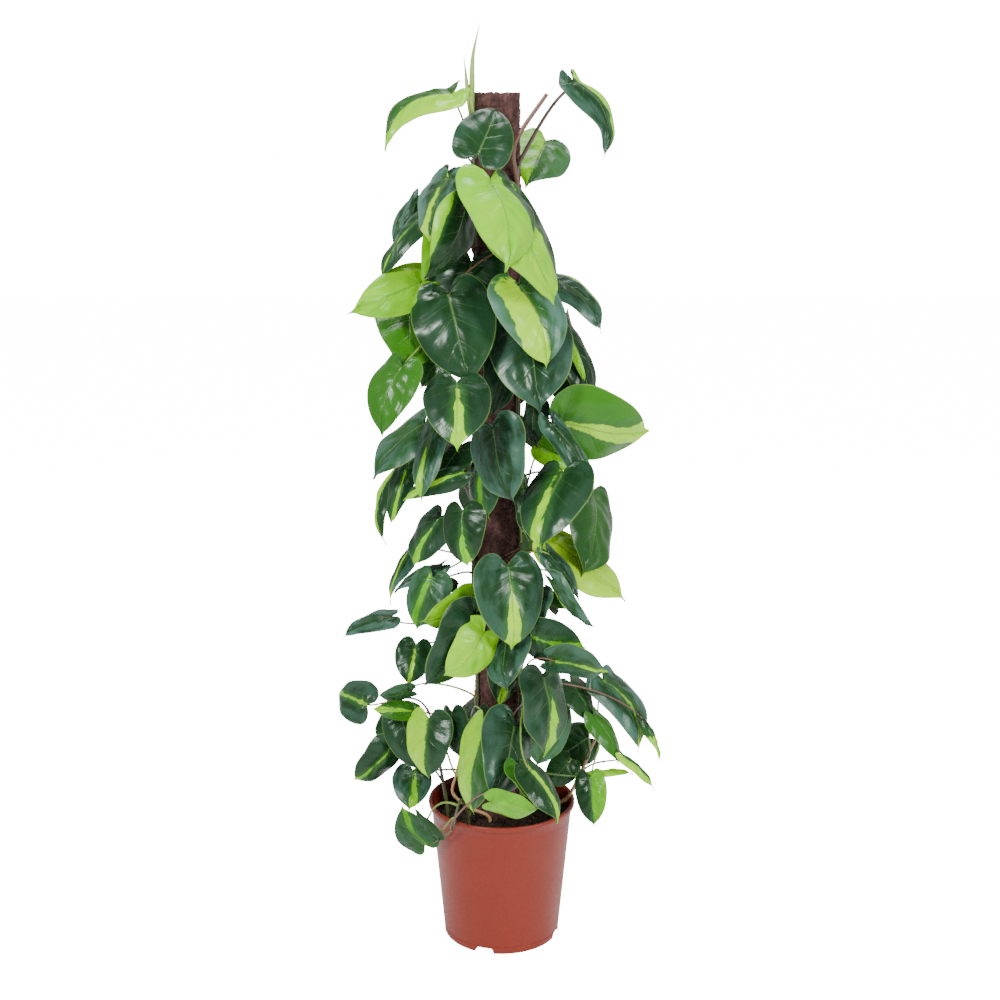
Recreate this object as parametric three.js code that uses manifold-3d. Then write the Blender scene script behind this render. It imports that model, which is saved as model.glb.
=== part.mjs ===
// A potted brasil philodendron: leafy vines tied round a coir pole that stands in a plastic
// nursery pot. Millimetres, +Z up, with the origin on the ground under the middle of the pot.
import * as THREE from "three";
import { mergeVertices } from "three/addons/utils/BufferGeometryUtils.js";
import Module from "manifold-3d";

const wasm = await Module();
wasm.setup();

// Driving sizes of the pot
const potHeight = 184;
const rimRadius = 95;
const footRadius = 75.5;
const wall = 1.9;
const rimDepth = 6.5;
const rimOverhang = 3.2;
const footHeight = 9;
const floorLift = 5;
const padRadius = 17;
const potFloorTop = 7.4;
const footRing = 3;
const rimRound = 2.6;
const drainCount = 4;
const drainRadius = 6;
const drainShare = 0.62;
const notchCount = 4;
const notchWidth = 24;
const notchHeight = 7;
const notchDepth = 12;
const notchTurn = -0.3;
const potSides = 28;

// Driving sizes of the soil and the pole
const soilLevel = 166;
const soilBottom = 8;
const soilDome = 4;
const soilRoom = 1.4;
const holeDepth = 30;
const holeRoom = 2;
const poleX = -6;
const poleFoot = 25;
const poleTop = 1074;
const poleRadius = 27.5;
const coreRadius = 21;
const coreTop = 1068;
const sleeveChamfer = 2;
const poleSides = 24;
const gap = 0.35;

// Driving sizes of the plant
const stemRadius = 2.8;
const stemSides = 5;
const stemStep = 60;
const stalkRadius = 1.5;
const stalkEndRadius = 1.0;
const climberTaper = 0.62;
const shootTaper = 0.5;
const bareTaper = 0.3;
const stalkSides = 3;
const stalkSteps = 4;
const bladeThickness = 0.9;
const bladeBreadth = 0.85;
const bladeArch = 0.09;
const bladeDroop = 0.08;
const bladeRipple = 0.018;
const tipCurl = 0.05;
const canopyRadius = 98;

// Clearances that the layout keeps
const sightClearance = 4;
const notchClearance = 8;
const notchPixels = 14;
const polePixel = 497;
const gapPixels = 45;
const bladeClearance = 3.6;
const stalkClearance = 3.3;
const sampleSpacing = 3;
const placedCell = 6;
const pictureCell = 1.5;
const rimRoom = { outside: 5, inside: 12, above: 3 };
const soilClearance = 3;

// The viewer's place. Leaves that show from there are placed by pixels of a picture 1000 wide.
const eye = new THREE.Vector3(-2, -2002, 1074);
const tilt = THREE.MathUtils.degToRad(13.8);
const focalPixels = 1657;
const pictureMiddle = 500;

// Half of a blade's outline and its midrib, as shares of the length from stalk to tip
const bladeMargin = [
  [-0.12, 0.14],
  [-0.03, 0.34],
  [0.25, 0.44],
  [0.57, 0.35],
  [0.85, 0.12],
];
const bladeMidrib = [0, 0.32, 0.66, 1];
const halfBladeFaces = [
  [0, 4, 5],
  [0, 5, 6],
  [0, 6, 1],
  [1, 6, 7],
  [1, 7, 2],
  [2, 7, 8],
  [2, 8, 3],
];
const halfBladeWidth = 0.43;

// Stems that climb the pole: heading in degrees round it, 0 towards the viewer and 90 to the right
const climbers = [
  { name: "vine_front_left", heading: -62, sway: 9, turn: 0.4, top: 1040 },
  { name: "vine_front_right", heading: 62, sway: 8, turn: 2.1, top: 1000 },
  { name: "vine_right", heading: 122, sway: 9, turn: 1.2, top: 985 },
  { name: "vine_left", heading: -124, sway: 9, turn: 3.3, top: 935 },
  { name: "vine_back", heading: 180, sway: 8, turn: 5.1, top: 1010 },
];
const swayPeriod = 290;
const stemFlare = 7;
const flareHeight = 45;

// Stems that leave the soil away from the pole: a root on the soil, then the pixels they pass
// with the distance towards the viewer from the middle of the pot
const sideShoots = [
  {
    name: "shoot_right",
    root: [74, 3],
    radius: 2.6,
    bends: [
      { pixel: [567, 798], out: 0 },
      { pixel: [583, 768], out: 6 },
      { pixel: [592, 746], out: 12 },
      { pixel: [602, 726], out: 22 },
    ],
  },
  {
    name: "shoot_front_left",
    root: [-16, -34],
    radius: 2.4,
    bends: [
      { pixel: [470, 808], out: 40 },
      { pixel: [453, 793], out: 42 },
      { pixel: [456, 775], out: 48 },
      { pixel: [462, 748], out: 58 },
    ],
  },
  {
    name: "shoot_left",
    root: [-70, -12],
    radius: 2.4,
    bends: [
      { pixel: [441, 770], out: 16 },
      { pixel: [436, 740], out: 22 },
      { pixel: [429, 712], out: 28 },
    ],
  },
  {
    name: "shoot_over_rim",
    root: [-42, -44],
    radius: 1.9,
    bends: [
      { pixel: [461, 800], out: 60 },
      { pixel: [456, 814], out: 76 },
      { pixel: [453, 828], out: 84 },
      { pixel: [440, 839], out: 68 },
      { pixel: [428, 846], out: 50 },
    ],
  },
];

// New growth, cut ends and young rolled leaves, each a bare taper on one of the stems
const bareShoots = [
  { stem: "vine_front_left", height: 1034, pixels: [[474, 124], [471, 100], [469, 84]], radius: 2.8, out: 22 },
  { stem: "vine_front_left", height: 1036, pixels: [[472, 90], [473, 56], [480, 22]], radius: 2.6, out: 22 },
  { stem: "vine_front_left", height: 1036, pixels: [[468, 96], [466, 76], [464, 56]], radius: 2.2, out: 22 },
  {
    stem: "vine_front_right",
    height: 965,
    pixels: [[513, 152], [522, 130], [547, 94]],
    radius: 3.2,
    out: 41,
  },
];

// Leaves that show, in painting order: each is laid nearer to the viewer than those before it
// where they cross in the picture. Width is the blade's full width as it shows.
const leavesBehindPole = [{ stalk: [546, 141], tip: [526, 186], width: 60, out: -80 }];
const innerLeaves = [
  { stalk: [448, 172], tip: [424, 214], width: 22 },
  { stalk: [472, 262], tip: [452, 352], width: 76 },
  { stalk: [447, 352], tip: [420, 388], width: 34 },
  { stalk: [566, 372], tip: [590, 414], width: 44 },
  { stalk: [508, 340], tip: [492, 418], width: 40 },
  { stalk: [462, 445], tip: [436, 492], width: 34 },
  { stalk: [522, 490], tip: [531, 548], width: 20 },
  { stalk: [541, 446], tip: [574, 470], width: 28 },
  { stalk: [443, 586], tip: [460, 583], width: 16 },
  { stalk: [545, 590], tip: [557, 617], width: 14 },
  { stalk: [570, 682], tip: [592, 724], width: 26 },
  { stalk: [508, 640], tip: [499, 709], width: 36 },
  { stalk: [452, 712], tip: [458, 757], width: 26 },
  { stalk: [478, 714], tip: [481, 765], width: 24 },
  { stalk: [397, 712], tip: [378, 744], width: 26 },
  { stalk: [588, 738], tip: [550, 762], width: 44, out: -24 },
  { stalk: [570, 761], tip: [546, 787], width: 30, out: -34 },
  { stalk: [552, 708], tip: [537, 768], width: 46 },
];
const middleLeaves = [
  { stalk: [414, 200], tip: [392, 247], width: 17 },
  { stalk: [418, 197], tip: [398, 243], width: 15 },
  { stalk: [424, 214], tip: [379, 281], width: 20 },
  { stalk: [565, 325], tip: [590, 420], width: 30 },
  { stalk: [567, 338], tip: [586, 384], width: 9 },
  { stalk: [549, 279], tip: [603, 332], width: 28, bow: 0.09 },
  { stalk: [406, 306], tip: [404, 376], width: 62 },
  { stalk: [424, 281], tip: [348, 314], width: 46 },
  { stalk: [438, 215], tip: [421, 289], width: 20 },
  { stalk: [559, 421], tip: [651, 433], width: 70, shear: 0.3 },
  { stalk: [535, 404], tip: [536, 448], width: 26 },
  { stalk: [528, 323], tip: [540, 413], width: 82 },
  { stalk: [399, 467], tip: [384, 545], width: 14, bow: -0.1 },
  { stalk: [407, 466], tip: [390, 525], width: 22 },
  { stalk: [462, 473], tip: [402, 500], width: 22 },
  { stalk: [424, 423], tip: [371, 478], width: 36 },
  { stalk: [436, 424], tip: [420, 503], width: 28 },
  { stalk: [484, 462], tip: [488, 520], width: 34 },
  { stalk: [553, 541], tip: [628, 600], width: 42, bow: -0.05 },
  { stalk: [593, 492], tip: [584, 577], width: 50 },
  { stalk: [552, 424], tip: [592, 507], width: 24, bow: 0.06 },
  { stalk: [546, 594], tip: [578, 611], width: 14 },
  { stalk: [547, 552], tip: [580, 600], width: 20 },
  { stalk: [553, 580], tip: [594, 629], width: 15 },
  { stalk: [441, 566], tip: [393, 592], width: 14 },
  { stalk: [418, 541], tip: [388, 603], width: 13 },
  { stalk: [441, 517], tip: [412, 567], width: 34 },
  { stalk: [416, 644], tip: [408, 686], width: 38 },
  { stalk: [433, 577], tip: [416, 630], width: 40 },
  { stalk: [478, 604], tip: [420, 624], width: 34, bow: -0.07 },
  { stalk: [538, 592], tip: [519, 648], width: 30 },
  { stalk: [533, 637], tip: [587, 649], width: 42 },
  { stalk: [508, 636], tip: [506, 692], width: 46 },
  { stalk: [411, 691], tip: [377, 696], width: 16 },
];
const outerLeaves = [
  { stalk: [453, 93], tip: [383, 149], width: 26, bow: -0.14 },
  { stalk: [573, 81], tip: [606, 157], width: 25, bow: 0.13, thick: 1.8 },
  { stalk: [478, 155], tip: [498, 107], width: 62 },
  { stalk: [449, 177], tip: [428, 243], width: 42 },
  { stalk: [448, 293], tip: [470, 386], width: 82 },
  { stalk: [519, 284], tip: [548, 369], width: 65, bow: 0.04 },
  { stalk: [506, 200], tip: [558, 304], width: 54, bow: -0.06 },
  { stalk: [466, 208], tip: [427, 280], width: 42 },
  { stalk: [490, 180], tip: [508, 271], width: 64, bow: 0.03 },
  { stalk: [402, 366], tip: [381, 437], width: 44, bow: -0.05 },
  { stalk: [457, 382], tip: [457, 450], width: 66 },
  { stalk: [563, 472], tip: [539, 551], width: 62, shear: -0.3 },
  { stalk: [493, 428], tip: [513, 504], width: 56 },
  { stalk: [463, 510], tip: [467, 568], width: 42 },
  { stalk: [475, 615], tip: [424, 689], width: 46 },
  { stalk: [484, 632], tip: [443, 677], width: 44, bow: 0.06 },
  { stalk: [508, 566], tip: [513, 651], width: 68 },
  { stalk: [391, 617], tip: [342, 637], width: 20, bow: -0.04 },
  { stalk: [486, 727], tip: [471, 815], width: 44 },
  { stalk: [514, 725], tip: [490, 799], width: 60 },
  { stalk: [491, 802], tip: [541, 809], width: 24 },
  { stalk: [519, 765], tip: [538, 808], width: 26 },
  { stalk: [528, 769], tip: [559, 823], width: 28 },
  { stalk: [543, 676], tip: [546, 758], width: 44 },
  { stalk: [604, 681], tip: [640, 752], width: 34, bow: 0.1 },
  { stalk: [551, 661], tip: [608, 674], width: 30, bow: 0.1 },
  { stalk: [641, 716], tip: [661, 761], width: 8 },
  { stalk: [594, 716], tip: [620, 763], width: 20 },
  { stalk: [623, 756], tip: [655, 789], width: 9 },
  { stalk: [583, 775], tip: [634, 773], width: 7, out: 22 },
  { stalk: [590, 777], tip: [594, 827], width: 31 },
  { stalk: [425, 845], tip: [401, 806], width: 34, bow: 0.08 },
  { stalk: [438, 837], tip: [414, 807], width: 9 },
  { stalk: [413, 770], tip: [409, 811], width: 42 },
  { stalk: [391, 747], tip: [353, 782], width: 32 },
  { stalk: [400, 716], tip: [421, 772], width: 42 },
  { stalk: [414, 711], tip: [371, 709], width: 20 },
  { stalk: [367, 705], tip: [338, 691], width: 54 },
  { stalk: [429, 718], tip: [428, 780], width: 44 },
];

// The groups from back to front, with the share of the way out from the pole to the canopy
const seenGroups = [
  { list: leavesBehindPole, share: 0, behindPole: true },
  { list: innerLeaves, share: 0.45, behindPole: false },
  { list: middleLeaves, share: 0.75, behindPole: false },
  { list: outerLeaves, share: 1, behindPole: false },
];
const routePasses = 12;

// Leaves on the far side follow a rule: rows up the pole, each turned from the one below. Ranges
// are a least value and a spread; a retry moves the place on by a turn, a rise and a reach.
const backLeaves = {
  count: 36,
  lowest: 215,
  highest: 985,
  firstHeading: 180,
  turn: 67,
  spread: 78,
  reach: 76,
  reachBelow: 1.12,
  narrowing: 0.3,
  reachSpread: 26,
  length: 104,
  lengthShare: [0.78, 0.36],
  lean: [0.25, 0.5],
  twist: 0.9,
  bow: 0.16,
  facingRise: 0.4,
  tries: 14,
  retryTurn: 31,
  retryRise: 22,
  retryReach: 3,
};

// Straight line from the eye through a pixel, one millimetre deep for each millimetre along it.
function sightLine([x, y]) {
  const across = (x - pictureMiddle) / focalPixels;
  const up = (pictureMiddle - y) / focalPixels;
  return new THREE.Vector3(
    across,
    Math.cos(tilt) + up * Math.sin(tilt),
    -Math.sin(tilt) + up * Math.cos(tilt),
  );
}

// Point on a pixel's sight line at a distance in front of the pot's middle.
function pointAt(pixel, out) {
  const line = sightLine(pixel);
  return eye.clone().addScaledVector(line, (-out - eye.y) / line.y);
}

// Where a point shows in the picture, and how deep it lies.
function pictureOf(point) {
  const ray = point.clone().sub(eye);
  const depth = ray.y * Math.cos(tilt) - ray.z * Math.sin(tilt);
  const up = ray.y * Math.sin(tilt) + ray.z * Math.cos(tilt);
  return {
    x: pictureMiddle + (focalPixels * ray.x) / depth,
    y: pictureMiddle - (focalPixels * up) / depth,
    depth,
  };
}

// Unit draw that depends only on a leaf's number and the kind of draw.
function draw(number, kind) {
  const value = Math.sin(number * 127.1 + kind * 311.7) * 43758.5453;
  return value - Math.floor(value);
}

function solidFromFaces(positions, faces) {
  return new wasm.Manifold(
    new wasm.Mesh({
      numProp: 3,
      vertProperties: new Float32Array(positions),
      triVerts: new Uint32Array(faces.flat()),
    }),
  );
}

function solidFromGeometry(geometry) {
  const bare = geometry.clone();
  bare.deleteAttribute("normal");
  bare.deleteAttribute("uv");
  const merged = mergeVertices(bare, 1e-4);
  return new wasm.Manifold(
    new wasm.Mesh({
      numProp: 3,
      vertProperties: merged.attributes.position.array,
      triVerts: new Uint32Array(merged.index.array),
    }),
  );
}

function geometryFromSolid(solid) {
  const mesh = solid.getMesh();
  const geometry = new THREE.BufferGeometry();
  geometry.setAttribute("position", new THREE.BufferAttribute(mesh.vertProperties, 3));
  geometry.setIndex(new THREE.BufferAttribute(mesh.triVerts, 1));
  return geometry;
}

// Round bar along the listed points, with a radius at each, closed at both ends.
function taperedBar(points, radii, sides) {
  const positions = [];
  const faces = [];
  let side = new THREE.Vector3(1, 0, 0);
  points.forEach((point, row) => {
    const before = points[Math.max(row - 1, 0)];
    const after = points[Math.min(row + 1, points.length - 1)];
    const along = after.clone().sub(before).normalize();
    side = side.clone().addScaledVector(along, -side.dot(along));
    if (side.length() < 0.1) {
      side = new THREE.Vector3(0, 1, 0).addScaledVector(along, -along.y);
    }
    side.normalize();
    const other = along.clone().cross(side);
    for (let k = 0; k < sides; k++) {
      const angle = (2 * Math.PI * k) / sides;
      const corner = point
        .clone()
        .addScaledVector(side, radii[row] * Math.cos(angle))
        .addScaledVector(other, radii[row] * Math.sin(angle));
      positions.push(corner.x, corner.y, corner.z);
    }
  });
  const last = (points.length - 1) * sides;
  for (let row = 0; row < points.length - 1; row++) {
    for (let k = 0; k < sides; k++) {
      const a = row * sides + k;
      const b = row * sides + ((k + 1) % sides);
      faces.push([a, b, b + sides], [a, b + sides, a + sides]);
    }
  }
  for (let k = 1; k < sides - 1; k++) {
    faces.push([0, k + 1, k], [last, last + k, last + k + 1]);
  }
  return solidFromFaces(positions, faces);
}

function bezierPoint(knots, share) {
  const rest = 1 - share;
  return new THREE.Vector3()
    .addScaledVector(knots[0], rest ** 3)
    .addScaledVector(knots[1], 3 * rest * rest * share)
    .addScaledVector(knots[2], 3 * rest * share * share)
    .addScaledVector(knots[3], share ** 3);
}

// Point on a climbing stem: it sways gently round the pole and flares out near the soil.
function climberPoint(climber, height) {
  const sway = climber.sway * Math.sin((2 * Math.PI * height) / swayPeriod + climber.turn);
  const heading = THREE.MathUtils.degToRad(climber.heading + sway);
  const flare = stemFlare * Math.exp(-Math.max(height - soilLevel, 0) / flareHeight);
  const radius = poleRadius + stemRadius + 2 * gap + flare;
  return new THREE.Vector3(poleX + radius * Math.sin(heading), -radius * Math.cos(heading), height);
}

// Point of a side shoot, which runs smoothly through its bends from its straight foot.
function shootPoint(shoot, share) {
  const [x, y] = shoot.root;
  const foot = new THREE.Vector3(x, y, soilLevel - holeDepth);
  const collar = new THREE.Vector3(x, y, soilLevel + 5);
  const bends = shoot.bends.map((bend) => pointAt(bend.pixel, bend.out));
  return new THREE.CatmullRomCurve3([foot, collar, ...bends]).getPoint(share);
}

// Local height of a blade over its flat outline, as a share of its length: arched along the
// midrib, drooping towards the margins, rippled along them and curled down at the tip.
function bladeHeight(x, y, ripplePhase) {
  const along = Math.min(Math.max(x, 0), 1);
  const across = y / halfBladeWidth;
  const arch = bladeArch * 4 * along * (1 - along);
  const droop = bladeDroop * across * across;
  const ripple = bladeRipple * Math.abs(across) * Math.sin(9 * x + Math.sign(y) + ripplePhase);
  const curl = tipCurl * Math.max((along - 0.7) / 0.3, 0) ** 2;
  return arch - droop + ripple - curl;
}

// Frame of a blade: its start, the directions along, across and out of its upper face, its size.
function bladeFrame(start, tip, facing, breadth, bow, ripplePhase) {
  const along = tip.clone().sub(start);
  const size = along.length();
  along.normalize();
  const out = facing.clone().addScaledVector(along, -facing.dot(along)).normalize();
  return { start, along, out, across: out.clone().cross(along), size, breadth, bow, ripplePhase };
}

// Poses tried for a leaf that shows. Each gives the same outline in the picture: the blade is
// turned about its midrib up to a limit, past which it is narrow, and leans by some more degrees.
const seenPoses = [50, 25, 0].flatMap((turnLimit) =>
  [1, -1].flatMap((side) =>
    [0, 10, -10, 20, -20, 30].flatMap((nod) =>
      [1, -1].map((towards) => ({ turnLimit, side, nod, towards })),
    ),
  ),
);

const steepestSlant = THREE.MathUtils.degToRad(62);
const widestTurn = 50;
const poseCosts = { turn: 0.12, nod: 0.3, otherSide: 8, otherWay: 12 };
const outwardRise = 0.5;

// How far a pose is from the natural one, in millimetres of slide that it is worth.
function poseCost(pose) {
  const turnCost = poseCosts.turn * (widestTurn - pose.turnLimit);
  const sideCost = pose.side < 0 ? poseCosts.otherSide : 0;
  const wayCost = pose.towards < 0 ? poseCosts.otherWay : 0;
  return turnCost + poseCosts.nod * Math.abs(pose.nod) + sideCost + wayCost;
}

// Frame of a leaf that shows: width against length gives how far it is turned about its midrib
// or leant towards the viewer, and the upper face turns outwards and up.
function seenFrame(leaf, share, number, pose) {
  const lateral = pointAt(leaf.stalk, 0).x - poleX;
  const round = Math.sqrt(Math.max(canopyRadius ** 2 - lateral ** 2, 0));
  const start = pointAt(leaf.stalk, leaf.out ?? share * round);
  const depth = pictureOf(start).depth;
  const shown = Math.hypot(leaf.tip[0] - leaf.stalk[0], leaf.tip[1] - leaf.stalk[1]);
  const fullness = leaf.width / (bladeBreadth * shown);
  const downwards = leaf.tip[1] > leaf.stalk[1] ? 1 : -1;
  const sideways = new THREE.Vector3(leaf.tip[1] - leaf.stalk[1], 0, leaf.tip[0] - leaf.stalk[0]);
  const outwards = new THREE.Vector3(start.x - poleX, start.y, 0).normalize().setZ(outwardRise);
  const side = (sideways.dot(outwards) < 0 ? -1 : 1) * pose.side;
  let slant = downwards * pose.towards * Math.acos(Math.min(1 / fullness, 1));
  slant += THREE.MathUtils.degToRad(pose.nod);
  let turnLimit = THREE.MathUtils.degToRad(pose.turnLimit);
  if (leaf.shear) {
    slant = Math.sign(leaf.shear) * side * slantForShear(fullness, Math.abs(leaf.shear));
    turnLimit = Math.PI / 2;
  }
  slant = THREE.MathUtils.clamp(slant, -steepestSlant, steepestSlant);
  const turn = Math.min(Math.acos(Math.min(fullness * Math.cos(slant), 1)), turnLimit);
  const forward = (shown * Math.tan(slant) * depth) / focalPixels;
  const tip = eye.clone().addScaledVector(sightLine(leaf.tip), depth - forward);
  const along = tip.clone().sub(start).normalize();
  const facing = eye.clone().sub(start).normalize();
  facing.addScaledVector(along, -facing.dot(along)).normalize();
  const across = facing.clone().cross(along);
  facing.multiplyScalar(Math.cos(turn)).addScaledVector(across, side * Math.sin(turn));
  const trueWidth = (leaf.width / Math.cos(turn)) * (depth / focalPixels);
  const breadth = Math.min(trueWidth / (bladeBreadth * tip.distanceTo(start)), 1);
  return bladeFrame(start, tip, facing, breadth, (leaf.bow ?? 0) / Math.cos(turn), number);
}

// Slant at which a blade of this fullness shows one side of its outline ahead of the other.
function slantForShear(fullness, shear) {
  let low = Math.acos(Math.min(1 / fullness, 1));
  let high = steepestSlant;
  for (let step = 0; step < 30; step++) {
    const slant = (low + high) / 2;
    const narrowing = fullness * Math.cos(slant);
    const reached = (Math.sin(slant) * Math.sqrt(Math.max(1 - narrowing ** 2, 0))) / narrowing;
    if (reached < shear) low = slant;
    else high = slant;
  }
  return (low + high) / 2;
}

function bladePoint(frame, x, y, lift) {
  const height = bladeHeight(x, y, frame.ripplePhase) * frame.size + lift;
  const along = Math.min(Math.max(x, 0), 1);
  const aside = y * frame.breadth + frame.bow * 4 * along * (1 - along);
  return frame.start
    .clone()
    .addScaledVector(frame.along, x * frame.size)
    .addScaledVector(frame.across, aside * frame.size)
    .addScaledVector(frame.out, height);
}

// Corners of a blade's mid surface: the midrib, then one margin, then the other.
function bladeCorners(frame, lift) {
  return [
    ...bladeMidrib.map((x) => bladePoint(frame, x, 0, lift)),
    ...bladeMargin.map(([x, y]) => bladePoint(frame, x, y, lift)),
    ...bladeMargin.map(([x, y]) => bladePoint(frame, x, -y, lift)),
  ];
}

// Faces of one side of a blade; the second half mirrors the first.
function bladeFaces() {
  const firstMargin = bladeMidrib.length;
  const mirrored = (k) => (k < firstMargin ? k : k + bladeMargin.length);
  const other = halfBladeFaces.map(([a, b, c]) => [mirrored(a), mirrored(c), mirrored(b)]);
  return [...halfBladeFaces, ...other];
}

const bladeUpperFaces = bladeFaces();
const cornerCount = bladeMidrib.length + 2 * bladeMargin.length;
const marginLoop = [0, 4, 5, 6, 7, 8, 3, 13, 12, 11, 10, 9];

function bladeSolid(frame) {
  const upper = bladeCorners(frame, bladeThickness / 2);
  const lower = bladeCorners(frame, -bladeThickness / 2);
  const positions = [...upper, ...lower].flatMap((corner) => corner.toArray());
  const faces = bladeUpperFaces.map(([a, b, c]) => [a, c, b]);
  bladeUpperFaces.forEach(([a, b, c]) => {
    faces.push([a + cornerCount, b + cornerCount, c + cornerCount]);
  });
  marginLoop.forEach((a, index) => {
    const b = marginLoop[(index + 1) % marginLoop.length];
    faces.push([a, b, b + cornerCount], [a, b + cornerCount, a + cornerCount]);
  });
  return solidFromFaces(positions, faces);
}

// Nearest depth so far for each cell of the picture, used to lay each leaf in front of the last.
class DepthPicture {
  constructor(cellPixels) {
    this.cellPixels = cellPixels;
    this.width = Math.ceil(1000 / cellPixels);
    this.depths = new Float64Array(this.width * this.width).fill(Infinity);
  }

  // Calls visit with each cell that a triangle covers and the triangle's depth there.
  coverTriangle(corners, visit) {
    const [a, b, c] = corners;
    const area = (b.x - a.x) * (c.y - a.y) - (c.x - a.x) * (b.y - a.y);
    const cell = this.cellPixels;
    const slack = Math.abs(area) < 1e-9 ? 0 : (1.5 * cell * cell) / Math.max(Math.abs(area), cell);
    const lowX = Math.floor(Math.min(a.x, b.x, c.x) / cell);
    const highX = Math.ceil(Math.max(a.x, b.x, c.x) / cell);
    const lowY = Math.floor(Math.min(a.y, b.y, c.y) / cell);
    const highY = Math.ceil(Math.max(a.y, b.y, c.y) / cell);
    for (let row = lowY; row <= highY; row++) {
      for (let column = lowX; column <= highX; column++) {
        const x = column * cell;
        const y = row * cell;
        const u = ((b.x - x) * (c.y - y) - (c.x - x) * (b.y - y)) / area;
        const v = ((c.x - x) * (a.y - y) - (a.x - x) * (c.y - y)) / area;
        const w = 1 - u - v;
        if (Math.min(u, v, w) < -slack) continue;
        const depth = u * a.depth + v * b.depth + w * c.depth;
        const low = Math.min(a.depth, b.depth, c.depth);
        const high = Math.max(a.depth, b.depth, c.depth);
        visit(row * this.width + column, Math.min(Math.max(depth, low), high));
      }
    }
  }

  // Whether a far leaf stays behind nearer things, or close to the pole where it fills gaps.
  hides(frame) {
    let hidden = true;
    const corners = bladeCorners(frame, 0).map(pictureOf);
    bladeUpperFaces.forEach((face) => {
      this.coverTriangle(face.map((k) => corners[k]), (cell) => {
        const aside = Math.abs((cell % this.width) * this.cellPixels - polePixel);
        if (aside > gapPixels && this.depths[cell] === Infinity) hidden = false;
      });
    });
    return hidden;
  }

  // Share of its distance from the eye at which a leaf is clear in front of what is drawn.
  clearShare(frame) {
    let share = 1;
    const corners = bladeCorners(frame, 0).map(pictureOf);
    bladeUpperFaces.forEach((face) => {
      this.coverTriangle(face.map((k) => corners[k]), (cell, depth) => {
        const x = (cell % this.width) * this.cellPixels - corners[0].x;
        const y = Math.floor(cell / this.width) * this.cellPixels - corners[0].y;
        const near = Math.max(1 - Math.hypot(x, y) / notchPixels, 0);
        const clearance = sightClearance + notchClearance * near;
        share = Math.min(share, (this.depths[cell] - clearance) / depth);
      });
    });
    return share;
  }

  drawLeaf(frame) {
    const corners = bladeCorners(frame, 0).map(pictureOf);
    bladeUpperFaces.forEach((face) => {
      this.coverTriangle(face.map((k) => corners[k]), (cell, depth) => {
        this.depths[cell] = Math.min(this.depths[cell], depth);
      });
    });
  }

  // An upright drum, such as the pole with its stems or the pot, from its centre line.
  drawDrum(centreX, radius, bottom, top) {
    for (let cell = 0; cell < this.depths.length; cell++) {
      const column = cell % this.width;
      const row = Math.floor(cell / this.width);
      const line = sightLine([column * this.cellPixels, row * this.cellPixels]);
      const ox = eye.x - centreX;
      const a = line.x ** 2 + line.y ** 2;
      const b = ox * line.x + eye.y * line.y;
      const c = ox ** 2 + eye.y ** 2 - radius ** 2;
      const root = b * b - a * c;
      if (root < 0) continue;
      let depth = (-b - Math.sqrt(root)) / a;
      if (eye.z + depth * line.z > top) {
        const near = depth;
        const far = (-b + Math.sqrt(root)) / a;
        depth = (top - eye.z) / line.z;
        if (depth < near || depth > far) continue;
      }
      if (eye.z + depth * line.z < bottom) continue;
      this.depths[cell] = Math.min(this.depths[cell], depth);
    }
  }
}

// Points on what is already placed, kept in cells so that near ones are found quickly.
class PlacedPoints {
  constructor(cellSize) {
    this.cellSize = cellSize;
    this.cells = new Map();
  }

  key(x, y, z) {
    return ((x + 512) * 1024 + (y + 512)) * 1024 + (z + 512);
  }

  add(point, owner) {
    const key = this.key(...point.toArray().map((v) => Math.floor(v / this.cellSize)));
    if (!this.cells.has(key)) this.cells.set(key, []);
    this.cells.get(key).push({ point, owner });
  }

  // Whether anything that counts lies within a distance of a point.
  meets(point, distance, counts) {
    const [x, y, z] = point.toArray().map((v) => Math.floor(v / this.cellSize));
    for (let i = x - 1; i <= x + 1; i++) {
      for (let j = y - 1; j <= y + 1; j++) {
        for (let k = z - 1; k <= z + 1; k++) {
          const found = this.cells.get(this.key(i, j, k));
          if (!found) continue;
          const hit = found.some(
            (item) => counts(item.owner) && item.point.distanceTo(point) < distance,
          );
          if (hit) return true;
        }
      }
    }
    return false;
  }
}

// Points spread over a blade's faces at about the sample spacing.
function bladeSamples(frame, spacing) {
  const corners = bladeCorners(frame, 0);
  return bladeUpperFaces.flatMap(([a, b, c]) => {
    const first = corners[b].clone().sub(corners[a]);
    const second = corners[c].clone().sub(corners[a]);
    const steps = Math.ceil(Math.max(first.length(), second.length()) / spacing);
    const samples = [];
    for (let i = 0; i <= steps; i++) {
      for (let j = 0; j <= steps - i; j++) {
        samples.push(
          corners[a].clone().addScaledVector(first, i / steps).addScaledVector(second, j / steps),
        );
      }
    }
    return samples;
  });
}

// Ways for a leaf's stalk to reach it: where it leaves a stem, how far it bows aside, and how
// it arrives, from beyond the lobes or from behind the blade.
const stalkDrops = [55, 35, 75, 15, 95, -5, 118, -28, 142];
const shootShares = [0.42, 0.55, 0.68, 0.8, 0.9, 0.98];
const stalkBows = [0, 12, -12, 25, -25, 40, -40];
const stalkArrivals = [
  { beyond: 0.12, behind: 0.3, rise: 0.22, cost: 0 },
  { beyond: 0.34, behind: 0.08, rise: 0.34, cost: 8 },
  { beyond: 0.02, behind: 0.36, rise: 0.1, cost: 8 },
  { beyond: 0.22, behind: 0.2, rise: 0.5, cost: 14 },
];
const likedStalkLength = 80;
const longestStalk = 200;
const shortestStalk = 12;
const bladeFreeLength = 15;
const stalkLean = 0.16;
const stalkEndAlong = 0.07;
const stalkEndBelow = 0.7;
const endBowShare = 0.4;

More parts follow.
